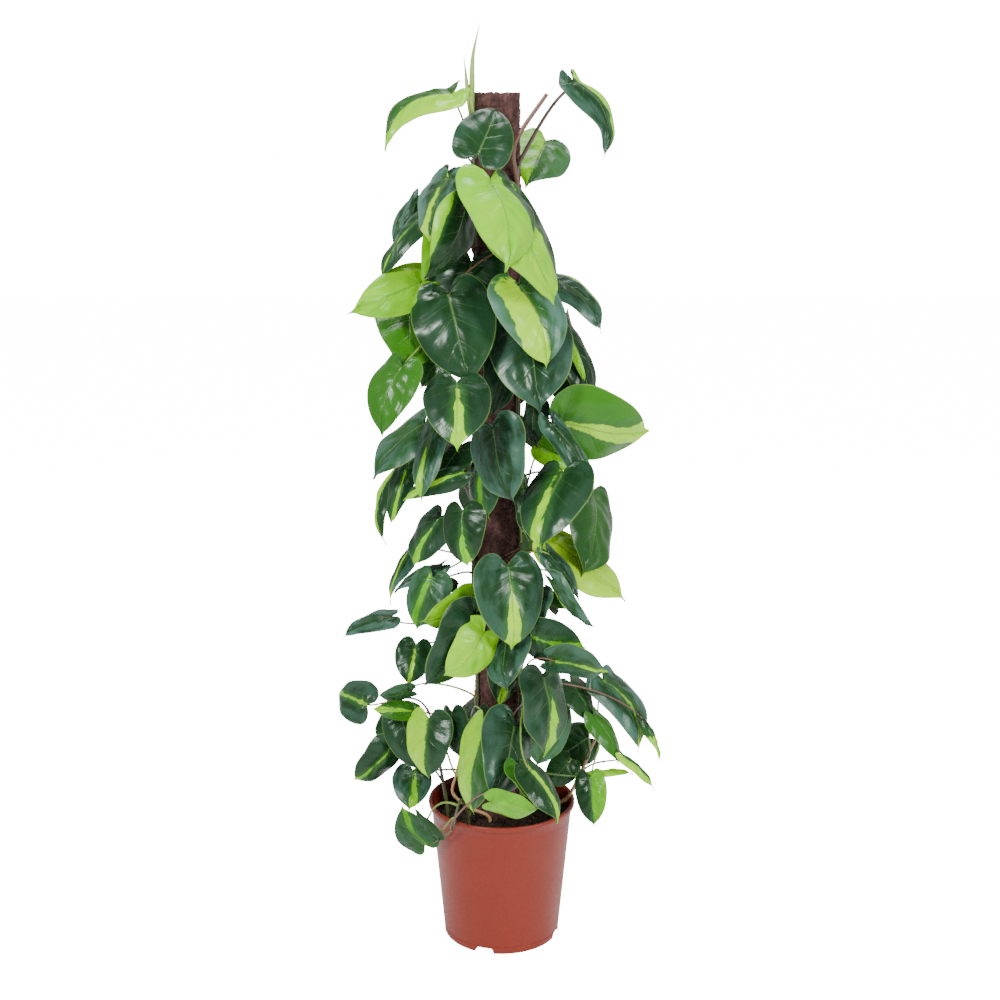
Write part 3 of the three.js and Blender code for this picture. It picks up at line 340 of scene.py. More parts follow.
def bestAxis(corners, out):
    # Each pair of corners is tried as one that faces across; the best direction and scale bring the
    # corners nearest to the outline's places. One corner may be missing or too many.
    expected = np.sort(np.concatenate([plant["midribX"], plant["marginX"], plant["marginX"]]))
    if len(corners) == len(expected) + 1:
        tries = [bestAxis(np.delete(corners, k, 0), out) for k in range(len(corners))]
        return min(tries, key=lambda found: found[0])
    options = [expected]
    if len(corners) == len(expected) - 1:
        options = [np.delete(expected, k) for k in range(len(expected))]
    best = (1.0, None, 0.0, 0.0, corners)
    for a in range(len(corners)):
        for b in range(a + 1, len(corners)):
            across = corners[b] - corners[a]
            across = across - out * across.dot(out)
            if norm(across) < 1:
                continue
            along = np.cross(across / norm(across), out)
            for axis in (along, -along):
                place = np.sort(corners @ axis)
                for option in options:
                    size, offset = np.polyfit(option, place, 1)
                    miss = np.abs(place - size * option - offset).max()
                    if miss < best[0] and size > 0:
                        best = (miss, axis, size, offset, corners)
    return best


def fitBlade(corners, out):
    # The blade that fits the corners: breadth and bow as means, and the ripple's phase, which tells
    # the leaf's number, by least squares.
    fewest, most = reading["corners"]
    if not fewest <= len(corners) <= most:
        return None
    miss, along, size, offset, corners = bestAxis(corners, out)
    if miss > reading["outlineSlack"]:
        return None
    x = (corners @ along - offset) / size
    allX = np.array([*plant["midribX"], *plant["marginX"]])
    allY = np.array([0, 0, 0, 0, *plant["marginY"]])
    which = np.abs(x[:, None] - allX[None]).argmin(1)
    inner, margin = (which == 1) | (which == 2), which > 3
    if (corners[inner] @ out).mean() < (corners[which == 6] @ out).mean():
        out = -out
    across = np.cross(out, along)
    start = corners[which == 3][0] - along * size + out * plant["tipCurl"] * size
    aside = (corners - start) @ across / size
    swell = 4 * np.clip(x, 0, 1) * (1 - np.clip(x, 0, 1))
    bow = (aside[inner] / swell[inner]).mean()
    lean = (aside - bow * swell)[margin]
    trueY = np.sign(lean) * allY[which[margin]]
    height = (corners[margin] - start) @ out / size
    wave = (height - bladeHeight(x[margin], trueY, 0)) * plant["halfBladeWidth"]
    turn = plant["rippleRate"] * x[margin] + np.sign(trueY)
    wave = wave / (plant["ripple"] * np.abs(trueY)) + np.sin(turn)
    parts = np.linalg.lstsq(np.stack([np.cos(turn), np.sin(turn)], 1), wave, rcond=None)[0]
    phase = atan2(parts[0], parts[1])
    apart = np.abs(np.angle(np.exp(1j * (np.arange(reading["numbers"]) - phase))))
    return {"start": start, "along": along, "across": across, "out": out, "size": size,
            "breadth": (lean / trueY).mean(), "bow": bow, "phase": phase, "number": int(apart.argmin())}


def readBlades(points, rough):
    # A blade's fourteen corners are pairs one thickness apart, all in one direction.
    i, j = pairsAt(points, rough, plant["bladeThickness"], reading["thicknessSlack"])
    middle = (points[i] + points[j]) / 2
    direction = points[j] - points[i]
    direction /= norm(direction, axis=1, keepdims=True)
    left = np.arange(len(i))
    blades = []
    while len(left):
        alike = np.abs(direction[left] @ direction[left[0]]) > reading["alike"]
        group, left = left[alike], left[~alike]
        blade = fitBlade(middle[group], direction[group[0]])
        if blade:
            blades.append(blade)
    return sorted(blades, key=lambda blade: blade["start"][1])


def readStalks(points, rough, edges, thick):
    # Three-sided rings at the quarters of each stalk: their sides are the radius times the root of
    # three, and edges tell which ring follows which.
    first, last = plant["stalkRadii"]
    level, up, centres = {}, {}, []
    ringOf = np.full(len(points), -1)
    for step in (1, 2, 3):
        side = thick * (first + (last - first) * step / 4) * sqrt(3)
        near = {}
        for a, b in zip(*pairsAt(points, rough, side, reading["sideSlack"])):
            near.setdefault(a, set()).add(b)
        for a in near:
            for b in near[a]:
                for c in near[a] & near.get(b, set()):
                    ringOf[[a, b, c]] = len(centres)
                    level[len(centres)] = step
                    centres.append(points[[a, b, c]].mean(0))
    for a, b in ringOf[edges]:
        if a >= 0 and b >= 0 and level[b] == level[a] + 1:
            up[a] = b
    return [(np.array([centres[k], centres[up[k]], centres[up[up[k]]]]), thick)
            for k in up if level[k] == 1 and up[k] in up]


def stalkRoot(quarters, end):
    # A stalk is a cubic, so its root follows from its three quarter points and its end.
    return 4 * quarters[0] - 6 * quarters[1] + 4 * quarters[2] - end


def matchStalks(blades, stalks, stem):
    # The right end for a stalk puts its root on the stem, and the closest matches are made first.
    place = plant["stalkMeets"], 0.0, -plant["stalkBelow"]
    ends = np.array([bladePoint(blade, *place) for blade in blades])
    options, matches = [], {}
    for s, (quarters, thick) in enumerate(stalks):
        roots = stalkRoot(quarters, ends)
        near = norm(roots[:, None] - stem[None], axis=2).min(1)
        options += [(near[b], b, s) for b in range(len(blades))]
    for miss, b, s in sorted(options):
        if b not in matches and s not in matches.values() and miss < reading["rootSlack"]:
            matches[b] = s
    return ends, matches


def pointAt(pixel, out):
    # The point on a pixel's line of sight at a distance in front of the pot's middle.
    tilt = radians(viewer["tilt"])
    across = (pixel[0] - viewer["width"] / 2) / viewer["focalPixels"]
    up = (viewer["width"] / 2 - pixel[1]) / viewer["focalPixels"]
    line = np.array([across, cos(tilt) + up * sin(tilt), up * cos(tilt) - sin(tilt)])
    eye = np.array(viewer["eye"], float)
    return eye + line * (-out - eye[1]) / line[1]


# Climbing stems: heading round the pole and sway in degrees, phase of the sway, and top in millimetres
climbers = {
    "vine_front_left": {"heading": -62, "sway": 9, "turn": 0.4, "top": 1040},
    "vine_front_right": {"heading": 62, "sway": 8, "turn": 2.1, "top": 1000},
    "vine_right": {"heading": 122, "sway": 9, "turn": 1.2, "top": 985},
    "vine_left": {"heading": -124, "sway": 9, "turn": 3.3, "top": 935},
    "vine_back": {"heading": 180, "sway": 8, "turn": 5.1, "top": 1010},
}

# Side shoots: root in the soil, radius, and bends as a pixel and a distance in front of the pot's middle
sideShoots = {
    "shoot_right": {"root": (74, 3), "radius": 2.6, "tint": "tan", "bends": [
        ((567, 798), 0), ((583, 768), 6), ((592, 746), 12), ((602, 726), 22)]},
    "shoot_front_left": {"root": (-16, -34), "radius": 2.4, "tint": "tan", "bends": [
        ((470, 808), 40), ((453, 793), 42), ((456, 775), 48), ((462, 748), 58)]},
    "shoot_left": {"root": (-70, -12), "radius": 2.4, "tint": "olive", "bends": [
        ((441, 770), 16), ((436, 740), 22), ((429, 712), 28)]},
    "shoot_over_rim": {"root": (-42, -44), "radius": 1.9, "tint": "olive", "bends": [
        ((461, 800), 60), ((456, 814), 76), ((453, 828), 84), ((440, 839), 68), ((428, 846), 50)]},
}

# New growth at the top: the stem and height it leaves at, its pixels, radius and distance in front
newGrowth = [
    ("vine_front_left", 1034, [(474, 124), (471, 100), (469, 84)], 2.6, 22, "paleGreen"),
    ("vine_front_left", 1036, [(472, 90), (473, 56), (480, 22)], 3.6, 22, "paleGreen"),
    ("vine_front_left", 1036, [(468, 96), (466, 76), (464, 56)], 2.8, 22, "paleGreen"),
    ("vine_front_right", 965, [(513, 152), (522, 130), (547, 94)], 3.4, 41, "pinkBrown"),
]

# Nodes: taper of the stem, spacing, swell and length of a swell
stemForm = dict(
    swayPeriod=290, flare=7, flareHeight=45, holeDepth=30, sides=10, rings=260,
    nodes=(0.38, 62, 0.24, 5), nodeShift=31, shootRings=120, shootLength=130, shootRise=5,
    shootNodes=(0.5, 30, 0.2, 3), stalkSides=8, stalkSteps=22, stalkSwell=0.25,
    swellShare=0.06, stalkDrop=40, stalkArch=0.2, bractLength=13, bractRadius=1.7,
    bractShare=0.6, bractLean=(0.15, 0.5), bractSides=6, rootLength=(14, 34),
    rootDrop=(-0.5, 0.9), rootRadius=0.75, rootSides=5, growthRings=30, growthSides=8,
    stalkTints=["green", "lime", "brown", "green", "pinkBrown", "lime", "lime"], brownStalks=(54,),
)

# Linear colours of stems, stalks and new growth
tints = dict(
    olive=(0.055, 0.075, 0.022), brown=(0.060, 0.030, 0.022), green=(0.070, 0.140, 0.030),
    lime=(0.160, 0.260, 0.030), pinkBrown=(0.110, 0.036, 0.024), tan=(0.340, 0.200, 0.080),
    bract=(0.230, 0.070, 0.018), paleGreen=(0.220, 0.360, 0.050), root=(0.300, 0.160, 0.090),
)


def climberPoints(climber, height):
    # A climbing stem sways round the pole as a sine of height and flares out near the soil.
    form = stemForm
    sway = climber["sway"] * np.sin(2 * pi * height / form["swayPeriod"] + climber["turn"])
    heading = np.radians(climber["heading"] + sway)
    flare = form["flare"] * np.exp(-np.maximum(height - plant["soilLevel"], 0) / form["flareHeight"])
    radius = plant["poleRadius"] + plant["stemRadius"] + 2 * plant["gap"] + flare
    return np.stack([plant["poleX"] + radius * np.sin(heading), -radius * np.cos(heading), height], axis=-1)


def stemRadii(radius, share, travelled, taper, spacing, swell, length):
    # Thinner with the share of the way squared, and a bell-shaped swell at each node.
    near = travelled % spacing - spacing / 2
    return radius * (1 - taper * share ** 2) * (1 + swell * np.exp(-(near / length) ** 2))


def climberLine(climber):
    # A climbing stem's line and radii, from under the soil to its top.
    form = stemForm
    foot = plant["soilLevel"] - form["holeDepth"]
    height = np.linspace(foot, climber["top"], form["rings"])
    share = (height - foot) / (climber["top"] - foot)
    travelled = height + form["nodeShift"] * climber["turn"]
    return climberPoints(climber, height), stemRadii(plant["stemRadius"], share, travelled, *form["nodes"])


def shootLine(shoot):
    # The same for a side shoot, which runs through its bends as a centripetal curve.
    form = stemForm
    x, y = shoot["root"]
    knots = [(x, y, plant["soilLevel"] - form["holeDepth"]), (x, y, plant["soilLevel"] + form["shootRise"])]
    knots += [pointAt(pixel, out) for pixel, out in shoot["bends"]]
    share = np.linspace(0, 1, form["shootRings"])
    radii = stemRadii(shoot["radius"], share, share * form["shootLength"], *form["shootNodes"])
    return curveThrough(knots, form["shootRings"], 0.5), radii


def addNodeGrowth(gatherer, climber):
    # At a climbing stem's nodes: bracts, spindles that lean off it, and roots, thin arcs round the pole.
    form = stemForm
    chance = chanceOf(int(1000 * climber["turn"]))
    spacing = form["nodes"][1]
    offset = (spacing / 2 - form["nodeShift"] * climber["turn"]) % spacing
    heights = np.arange(offset, climber["top"] - 20, spacing)
    t = np.linspace(0, 1, 9)
    for height in heights[heights > plant["soilLevel"] + 20]:
        base = climberPoints(climber, height)
        outward = np.array([base[0] - plant["poleX"], base[1], 0])
        outward /= norm(outward)
        sideways = np.array([-outward[1], outward[0], 0]) * chance.choice([-1, 1])
        if chance.uniform() < form["bractShare"]:
            lean = chance.uniform(*form["bractLean"])
            rise = np.array([0, 0, 1]) + outward * lean + sideways * chance.uniform(-0.3, 0.3)
            path = base + outward * 1.6 + np.outer(t * form["bractLength"], rise)
            radii = np.maximum(form["bractRadius"] * np.sin(pi * t) ** 0.7, 0.12)
            gatherer.addTube(path * mm, radii * mm, form["bractSides"], tint=tints["bract"])
        for _ in range(chance.integers(1, 3)):
            length, drop = chance.uniform(*form["rootLength"]), chance.uniform(*form["rootDrop"])
            turns = atan2(base[1], base[0] - plant["poleX"])
            turns = turns + np.sign(chance.uniform(-1, 1)) * t * length / (plant["poleRadius"] + 2)
            reach = plant["poleRadius"] + 1.2 + 2.2 * (1 - t) ** 2
            path = np.stack([plant["poleX"] + reach * np.cos(turns), reach * np.sin(turns),
                             height - drop * length * t ** 1.5], -1)
            radii = form["rootRadius"] * (1 - 0.6 * t)
            gatherer.addTube(path * mm, radii * mm, form["rootSides"], tint=tints["root"])


def addNewGrowth(gatherer, name):
    # A young tip is a spindle along its curve, fullest at the middle; the cut cane hardly tapers.
    t = np.linspace(0, 1, stemForm["growthRings"])
    for stem, height, pixels, radius, out, tint in newGrowth:
        if stem != name:
            continue
        knots = [climberPoints(climbers[name], height), *(pointAt(p, out) for p in pixels)]
        shape = (1 - t) ** 0.55 * (0.75 + 0.5 * np.sin(pi * t) ** 2)
        if tint == "pinkBrown":
            shape = 1 - 0.25 * t
        curve, radii = curveThrough(knots, len(t)), np.maximum(radius * shape, 0.15)
        gatherer.addTube(curve * mm, radii * mm, stemForm["growthSides"], tint=tints[tint])


leafForm = dict(
    outline=[(0, 0), (-0.07, 0.05), (-0.155, 0.14), (-0.145, 0.27), (-0.01, 0.385), (0.2, 0.44),
                (0.41, 0.42), (0.6, 0.355), (0.75, 0.255), (0.865, 0.13), (0.93, 0.035), (1, 0)],
    rib=[0, 0.002, 0.005, 0.01, 0.02, 0.06, 0.16, 0.30, 0.47, 0.66, 0.83, 1],
    span=(0.012, 0.995), outlineSteps=400, rows=44, halfColumns=9, thickness=0.5,
    veins=8, veinSlant=0.3, pillow=0.013, swellRange=(0.3, 1.9), ribGroove=0.012,
    grooveWidth=0.1, marginWave=0.016, marginRate=15,
    creases=6, crease=0.0042, creaseRate=15, pillowFade=([0.3, 0.5, 0.9, 1], [0.5, 1, 0.5, 0]),
    grooveFade=([0, 0.2, 1], [0, 1, 0]), creaseFade=([0, 0.15, 0.9, 1], [0, 1, 1, 0]),
    bandEnds=0.8,
    # Leaves that aren't listed draw a style, and from farTones their green, band tone and share of painted
    # sheen (a reflection painted into the colour)
    farStyles=["plain", "plain", "rib", "ribWide", "leftRib", "rightRib", "lowRib", "leftHalf",
                  "notLeft", "plain"], farTones=((0.05, 0.35), (0.3, 0.8), (0, 0.5)),
)

# Where the light band lies on a leaf: its middle and half width across (1 is the margin), how both
# change towards the tip, and where it starts and ends along the leaf
bands = dict(
    plain=(0, 0, -2, 0, 0, 1), rib=(0, 0, 0.02, 0.1, -0.2, 1.1),
    ribWide=(0, 0, 0.06, 0.26, -0.1, 1.1), lowRib=(0.03, 0, -0.05, 0.32, 0.2, 1.1),
    lowRight=(0.12, 0.1, -0.04, 0.34, 0.2, 1.1), lowLeft=(-0.12, -0.1, -0.04, 0.34, 0.2, 1.1),
    rightRib=(0.1, 0.1, 0.06, 0.16, -0.1, 1.1), leftRib=(-0.1, -0.1, 0.06, 0.16, -0.1, 1.1),
    leftHalf=(-0.62, 0, 0.6, 0.04, -0.3, 1.2), rightHalf=(0.62, 0, 0.6, 0.04, -0.3, 1.2),
    notRight=(-0.5, 0, 0.98, 0.1, -0.3, 1.2), notLeft=(0.5, 0, 0.98, 0.1, -0.3, 1.2),
    thinRight=(-0.3, 0.1, 0.72, 0.75, -0.3, 1.2), broadRight=(0.9, 0, 0.62, 0, -0.2, 1.2),
    splash=(-0.4, 0.14, 0.3, 0.1, -0.1, 1.2),
    leftMargin=(-1, 0, 0.34, 0.1, -0.1, 1.2), rightMargin=(1, 0, 0.34, 0.1, -0.1, 1.2),
    all=(0, 0, 3, 0, -0.5, 1.5), lower=(0, 0, 2, 0, 0.45, 1.5),
)

# By band, and by the number that a leaf has in the layout: darkness of the green (0 dark, 1 bright),
# tone of the band (0 green, 1 pale) and painted sheen, a grey-blue reflection painted into the colour.
# A leaf that isn't listed draws its own.
leafLooks = {
    "leftHalf": {
        0: (0.45, 0.5, 0.3), 8: (0.45, 0.5, 0), 31: (0.2, 0.6, 0), 71: (0.35, 0.65, 0), 81: (0.2, 0.6, 0),
        91: (0.12, 0.75, 0.1),
    },
    "plain": {
        1: (0.1, 0.5, 0.1), 2: (0.12, 0.5, 0.1), 3: (0.3, 0.5, 0), 5: (0.1, 0.5, 0.1), 6: (0.12, 0.5, 0),
        9: (0.2, 0.5, 0), 10: (0.1, 0.5, 0), 11: (0.25, 0.5, 0), 13: (0.1, 0.5, 0.1), 14: (0.08, 0.5, 0),
        15: (0.25, 0.5, 0), 16: (0.25, 0.4, 0), 17: (0.22, 0.4, 0), 19: (0.2, 0.5, 0.8),
        20: (0.15, 0.5, 0.6), 22: (0.1, 0.5, 0), 25: (0.62, 0.5, 0), 29: (0.1, 0.5, 0.1),
        30: (0.1, 0.5, 0.3), 34: (0.3, 0.5, 0.5), 38: (0.35, 0.5, 0), 39: (0.12, 0.5, 0.7),
        40: (0.25, 0.4, 0), 41: (0.12, 0.5, 0.5), 43: (0.15, 0.5, 0.8), 49: (0.12, 0.5, 0.6),
        51: (0.1, 0.5, 0.5), 52: (0.3, 0.5, 0.4), 55: (0.16, 0.7, 0.15), 57: (0.14, 0.15, 0.1),
        62: (0.5, 0.8, 0), 65: (0.1, 0.5, 0.5), 67: (0.1, 0.5, 0.1), 70: (0.15, 0.5, 0.8),
        72: (0.12, 0.5, 0.25), 74: (0.5, 0.4, 0), 80: (0.5, 0.4, 0), 85: (0.2, 0.4, 0),
        88: (0.12, 0.5, 0.1),
    },
    "rib": {
        4: (0.15, 0.2, 0), 21: (0.2, 0.7, 0.1), 44: (0.12, 0.8, 0.5), 46: (0.15, 0.8, 0.1),
        77: (0.2, 0.6, 0.7), 78: (0.25, 0.6, 0.4), 87: (0.12, 0.5, 0.1), 90: (0.12, 0.6, 0.3),
    },
    "rightRib": {7: (0.15, 0.4, 0), 32: (0.15, 0.6, 0.1), 75: (0.12, 0.65, 0), 86: (0.15, 0.5, 0.6)},
    "lowRib": {
        12: (0.1, 0.6, 0), 45: (0.12, 0.5, 0.1), 63: (0.1, 0.7, 0.1), 66: (0.1, 0.5, 0),
        69: (0.12, 0.75, 0.3),
    },
    "leftMargin": {18: (0.4, 0.6, 0.5), 42: (0.25, 0.7, 0.7), 60: (0.12, 0.55, 0)},
    "all": {
        23: (0.5, 0.6, 0), 26: (0.6, 0.55, 0), 27: (0.6, 0.5, 0), 37: (0.6, 0.85, 0), 68: (0.6, 0.6, 0),
        73: (0.4, 0.3, 0), 82: (0.5, 0.6, 0),
    },
    "rightMargin": {24: (0.1, 0.6, 0.4)},
    "ribWide": {28: (0.62, 0.75, 0), 33: (0.12, 0.6, 0.1), 50: (0.1, 0.5, 0.1), 89: (0.5, 0.6, 0)},
    "lowLeft": {35: (0.15, 0.6, 0.5)},
    "leftRib": {
        36: (0.1, 0.25, 0.1), 47: (0.3, 0.2, 0.4), 56: (0.15, 0.85, 1.0), 64: (0.12, 0.7, 0.1),
        84: (0.3, 0.15, 0.2),
    },
    "notRight": {48: (0.12, 0.6, 0), 59: (0.2, 0.6, 0)},
    "rightHalf": {53: (0.35, 0.65, 0), 83: (0.1, 0.25, 0)},
    "broadRight": {54: (0.12, 0.6, 0.4)},
    "splash": {58: (0.35, 0.75, 1.0)},
    "thinRight": {61: (0.15, 0.55, 0)},
    "lowRight": {76: (0.12, 0.6, 0.2)},
    "lower": {79: (0.12, 0.6, 0)},
}


def lookOf(number):
    # A leaf's band, tones and share of painted sheen, its own or drawn by chance.
    for style, leaves in leafLooks.items():
        if number in leaves:
            return (style, *leaves[number])
    chance = chanceOf(900 + number)
    style = leafForm["farStyles"][chance.integers(len(leafForm["farStyles"]))]
    return (style, *(chance.uniform(*tones) for tones in leafForm["farTones"]))


def leafRelief(number, u, v):
    # In shares of the blade's length: random swells between the side veins, a groove along the midrib,
    # a wave that grows towards the margin, and crossing creases.
    form = leafForm
    away = np.abs(v)
    chance = chanceOf(500 + number)
    steps = np.arange(-1, form["veins"] + 2)
    swells = chance.uniform(*form["swellRange"], len(steps))
    swells = np.interp(u * form["veins"] + form["veinSlant"] * np.sign(v), steps, swells)
    relief = form["pillow"] * swells * np.sin(pi * form["veins"] * u) ** 2 * 4 * away * (1 - away)
    relief = relief * np.interp(u, *form["pillowFade"])
    groove = np.exp(-(away / form["grooveWidth"]) ** 2) * np.interp(u, *form["grooveFade"])
    wave = v ** 4 * np.sin(form["marginRate"] * u + 2 * np.sign(v) + 5 * number)
    relief = relief - form["ribGroove"] * groove + form["marginWave"] * wave
    for across, upward, turn in zip(*chance.uniform(-1, 1, (3, form["creases"]))):
        crease = np.sin(form["creaseRate"] * (across * v + (1 + upward) * u) + 2 * pi * turn)
        relief = relief + form["crease"] * crease * np.interp(u, *form["creaseFade"])
    return relief


def addLeaf(gatherer, blade):
    # A blade's skin: rows follow the side veins from the midrib to the heart-shaped margin, and the
    # relief moves the upper and the lower face alike.
    form, number = leafForm, blade["number"]
    rows, columns = form["rows"], 2 * form["halfColumns"] + 1
    span = np.linspace(*form["span"], rows)
    outline = curveThrough(form["outline"], form["outlineSteps"])
    places = np.linspace(0, 1, form["outlineSteps"])
    marginX, marginY = (np.interp(span, places, side) for side in outline.T)
    rib = np.interp(span, np.linspace(0, 1, len(form["rib"])), form["rib"])
    v = np.sin(np.linspace(-1, 1, columns) * pi / 2)[None, :]
    x = rib[:, None] + (marginX - rib)[:, None] * np.abs(v)
    y = marginY[:, None] * v
    u, v = np.broadcast_to(span[:, None], x.shape), np.broadcast_to(v, x.shape)
    relief = leafRelief(number, u, v) * blade["size"]
    skins = [bladePoint(blade, x, y, relief + side * form["thickness"] * mm).reshape(-1, 3)
             for side in (0.5, -0.5)]
    count = rows * columns
    top = gridFaces(rows, columns)[:, ::-1]
    index = np.arange(count).reshape(rows, columns)
    rim = np.concatenate([index[0, :-1], index[:-1, -1], index[-1, :0:-1], index[:0:-1, 0]])
    after = np.roll(rim, -1)
    faces = [top, top[:, ::-1] + count, np.stack([after + count, rim + count, rim, after], 1)]
    # How far each place is inside the light band
    style, base, tone, paintedSheen = lookOf(number)
    middle, middleTurn, width, widthTurn, begin, end = bands[style]
    aside = y / plant["halfBladeWidth"]
    inside = width + widthTurn * x - np.abs(aside - middle - middleTurn * x)
    inside = np.minimum(inside, np.minimum(x - begin, end - x) * form["bandEnds"])
    isListed = any(number in leaves for leaves in leafLooks.values())
    seed = number * 0.37 % 1 + (0 if isListed else 3)
    place = np.stack([u, v, np.full(x.shape, seed)], -1).reshape(-1, 3)
    band = [np.stack([inside, np.full(x.shape, upper), aside], -1).reshape(-1, 3) for upper in (1.0, 0.0)]
    # The leaf's tones carry the green's darkness, the band's tone and the share of painted sheen, a
    # reflection painted into the colour
    gatherer.add(np.vstack(skins), faces, leafPlace=np.vstack([place, place]),
                 leafBand=np.vstack(band), leafTone=(base, tone, paintedSheen))


leafFinish = dict(
    greens=[(0, (0.003, 0.0145, 0.0046)), (0.25, (0.0072, 0.035, 0.0072)), (0.6, (0.022, 0.108, 0.004)),
               (1, (0.06, 0.21, 0.004))],
    bands=[(0, (0.014, 0.11, 0.002)), (0.5, (0.118, 0.365, 0.0004)), (1, (0.32, 0.56, 0.01))],
    # The first colour on the next line is painted sheen, a grey-blue reflection painted into the leaf's
    # colour
    paintedSheen=(0.05, 0.12, 0.09), fringe=(0.022, 0.085, 0.016), rib=(0.08, 0.15, 0.04),
    under=(0.05, 0.095, 0.03), edge=(0.12, 0.22, 0.03),
    streaks=0.23, patches=0.30, streakGrid=(16.0, 1.1), patchGrid=(3.0, 1.3),
    paintedSheenGrid=(6.0, 3.0), skinGrid=(90.0, 60.0), leafShift=41.0,
    bandEdge=(-0.015, 0.03), fringeEdge=(-0.3, 0.0), paintedSheenEdge=(0.5, 0.85),
    veinEdge=(0.055, 0.0), veinFade=(1.0, 0.1), ribEdge=(0.05, 0.012), rimEdge=(0.965, 0.995),
    fringeShare=0.65, veinShare=0.16, ribShare=0.5, edgeShare=0.55, underShare=0.45,
    greenPatches=0.25, bandPatches=0.5, bandStreaks=0.35, paintedSheenMargin=0.3,
    roughness=0.20, roughSkin=0.10, roughUnder=0.25, roughPaintedSheen=0.12,
    veinRelief=-0.7, skinRelief=0.12, ribRelief=-0.8, streakRelief=1.6, bump=(0.5, 0.0009),
    specular=0.20, specularTint=(0.85, 1.0, 0.88, 1),
)


def attributeParts(tree, name):
    # The three numbers of a vector attribute.
    vector = put(tree, "ShaderNodeAttribute", attribute_name=name).outputs["Vector"]
    return list(put(tree, "ShaderNodeSeparateXYZ", {0: vector}).outputs)


def makeLeafMaterial():
    # The band is an eased step of the distance inside it, moved by streaks and patches. Clouds of painted
    # sheen (a grey-blue reflection painted into the colour), fringe, veins, rib, edge and the paler
    # underside are blended over the green by their masks.
    look = leafFinish
    material, tree, shader = newMaterial("philodendronLeaf")
    u, v, seed = attributeParts(tree, "leafPlace")
    inside, upper, _ = attributeParts(tree, "leafBand")
    base, tone, paintedSheen = attributeParts(tree, "leafTone")
    shift = times(seed, look["leafShift"])

    def onGrid(alongU, alongV):
        # A place on the blade, scaled along and across and moved on for each leaf.
        parts = {0: times(u, alongU), 1: times(v, alongV), 2: shift}
        return put(tree, "ShaderNodeCombineXYZ", parts).outputs[0]

    streak = calc("SUBTRACT", noise(onGrid(*look["streakGrid"]), 1.0, 4.0, 0.6), 0.5)
    patch = calc("SUBTRACT", noise(onGrid(*look["patchGrid"]), 1.0, 2.0), 0.5)
    reach = plus(timesPlus(streak, look["streaks"], inside), times(patch, look["patches"]))
    fringe = times(easedStep(reach, *look["fringeEdge"]), look["fringeShare"])
    green = ramp(timesPlus(patch, look["greenPatches"], base), look["greens"])
    shade = plus(timesPlus(patch, look["bandPatches"], tone), times(streak, look["bandStreaks"]))
    light = ramp(shade, look["bands"])
    away = calc("ABSOLUTE", v)
    # Painted sheen: clouds of noise, stronger towards the margin, where a grey-blue reflection is painted
    # into the colour
    cloud = timesPlus(away, look["paintedSheenMargin"], noise(onGrid(*look["paintedSheenGrid"]), 1.0, 3.0))
    paintedSheenMask = times(paintedSheen, easedStep(cloud, *look["paintedSheenEdge"]))
    gap = calc("PINGPONG", times(u, float(leafForm["veins"])), 0.5)
    vein = times(easedStep(gap, *look["veinEdge"]), easedStep(away, *look["veinFade"]))
    rib = easedStep(away, *look["ribEdge"])
    edge = easedStep(away, *look["rimEdge"])
    under = calc("SUBTRACT", 1.0, upper)
    # The painted sheen, a reflection painted into the colour, goes over the green first
    colour = blendColour(paintedSheenMask, green, look["paintedSheen"])
    colour = blendColour(fringe, colour, look["fringe"])
    colour = blendColour(easedStep(reach, *look["bandEdge"]), colour, light)
    layers = ((vein, "vein", "rib"), (rib, "rib", "rib"), (edge, "edge", "edge"), (under, "under", "under"))
    for mask, share, over in layers:
        colour = blendColour(times(mask, look[share + "Share"]), colour, look[over])
    skin = grain(onGrid(*look["skinGrid"]), 1.0, 3.0)["Coarse"]
    rough = timesPlus(skin, look["roughSkin"], look["roughness"])
    rough = plus(rough, times(under, look["roughUnder"]))
    rough = timesPlus(paintedSheenMask, look["roughPaintedSheen"], rough)
    relief = plus(times(vein, look["veinRelief"]), times(skin, look["skinRelief"]))
    relief = timesPlus(rib, look["ribRelief"], relief)
    relief = timesPlus(streak, look["streakRelief"], relief)
    feed(shader, {"Base Color": colour, "Roughness": rough, "Normal": bumped(relief, *look["bump"]),
                  "Specular IOR Level": look["specular"], "Specular Tint": look["specularTint"]})
    return material


stemFinish = dict(mottle=260.0, shade=(0.045, 0.040, 0.018), shadeShare=0.55, bump=(0.4, 0.0006),
              roughness=0.42)


def makeStemMaterial():
    # Each stem's own tint, mottled towards a dark shade by grain that also gives the relief.
    look = stemFinish
    material, tree, shader = newMaterial("stemAndStalk")
    tint = put(tree, "ShaderNodeAttribute", attribute_name="tint").outputs["Vector"]
    mottle = grain(onPiece(tree), look["mottle"], 4.0)["Coarse"]
    colour = blendColour(times(mottle, look["shadeShare"]), tint, look["shade"])
    feed(shader, {"Base Color": colour, "Normal": bumped(mottle, *look["bump"]),
                  "Roughness": look["roughness"]})
    return material


leafMaterial = makeLeafMaterial()
stemMaterial = makeStemMaterial()
print("leaf and stem finishes made")


def stalkTint(number):
    # A stalk draws its tint by chance, but for the few that are plainly brown.
    if number in stemForm["brownStalks"]:
        return tints["brown"]
    chance = chanceOf(300 + number)
    return tints[stemForm["stalkTints"][chance.integers(len(stemForm["stalkTints"]))]]


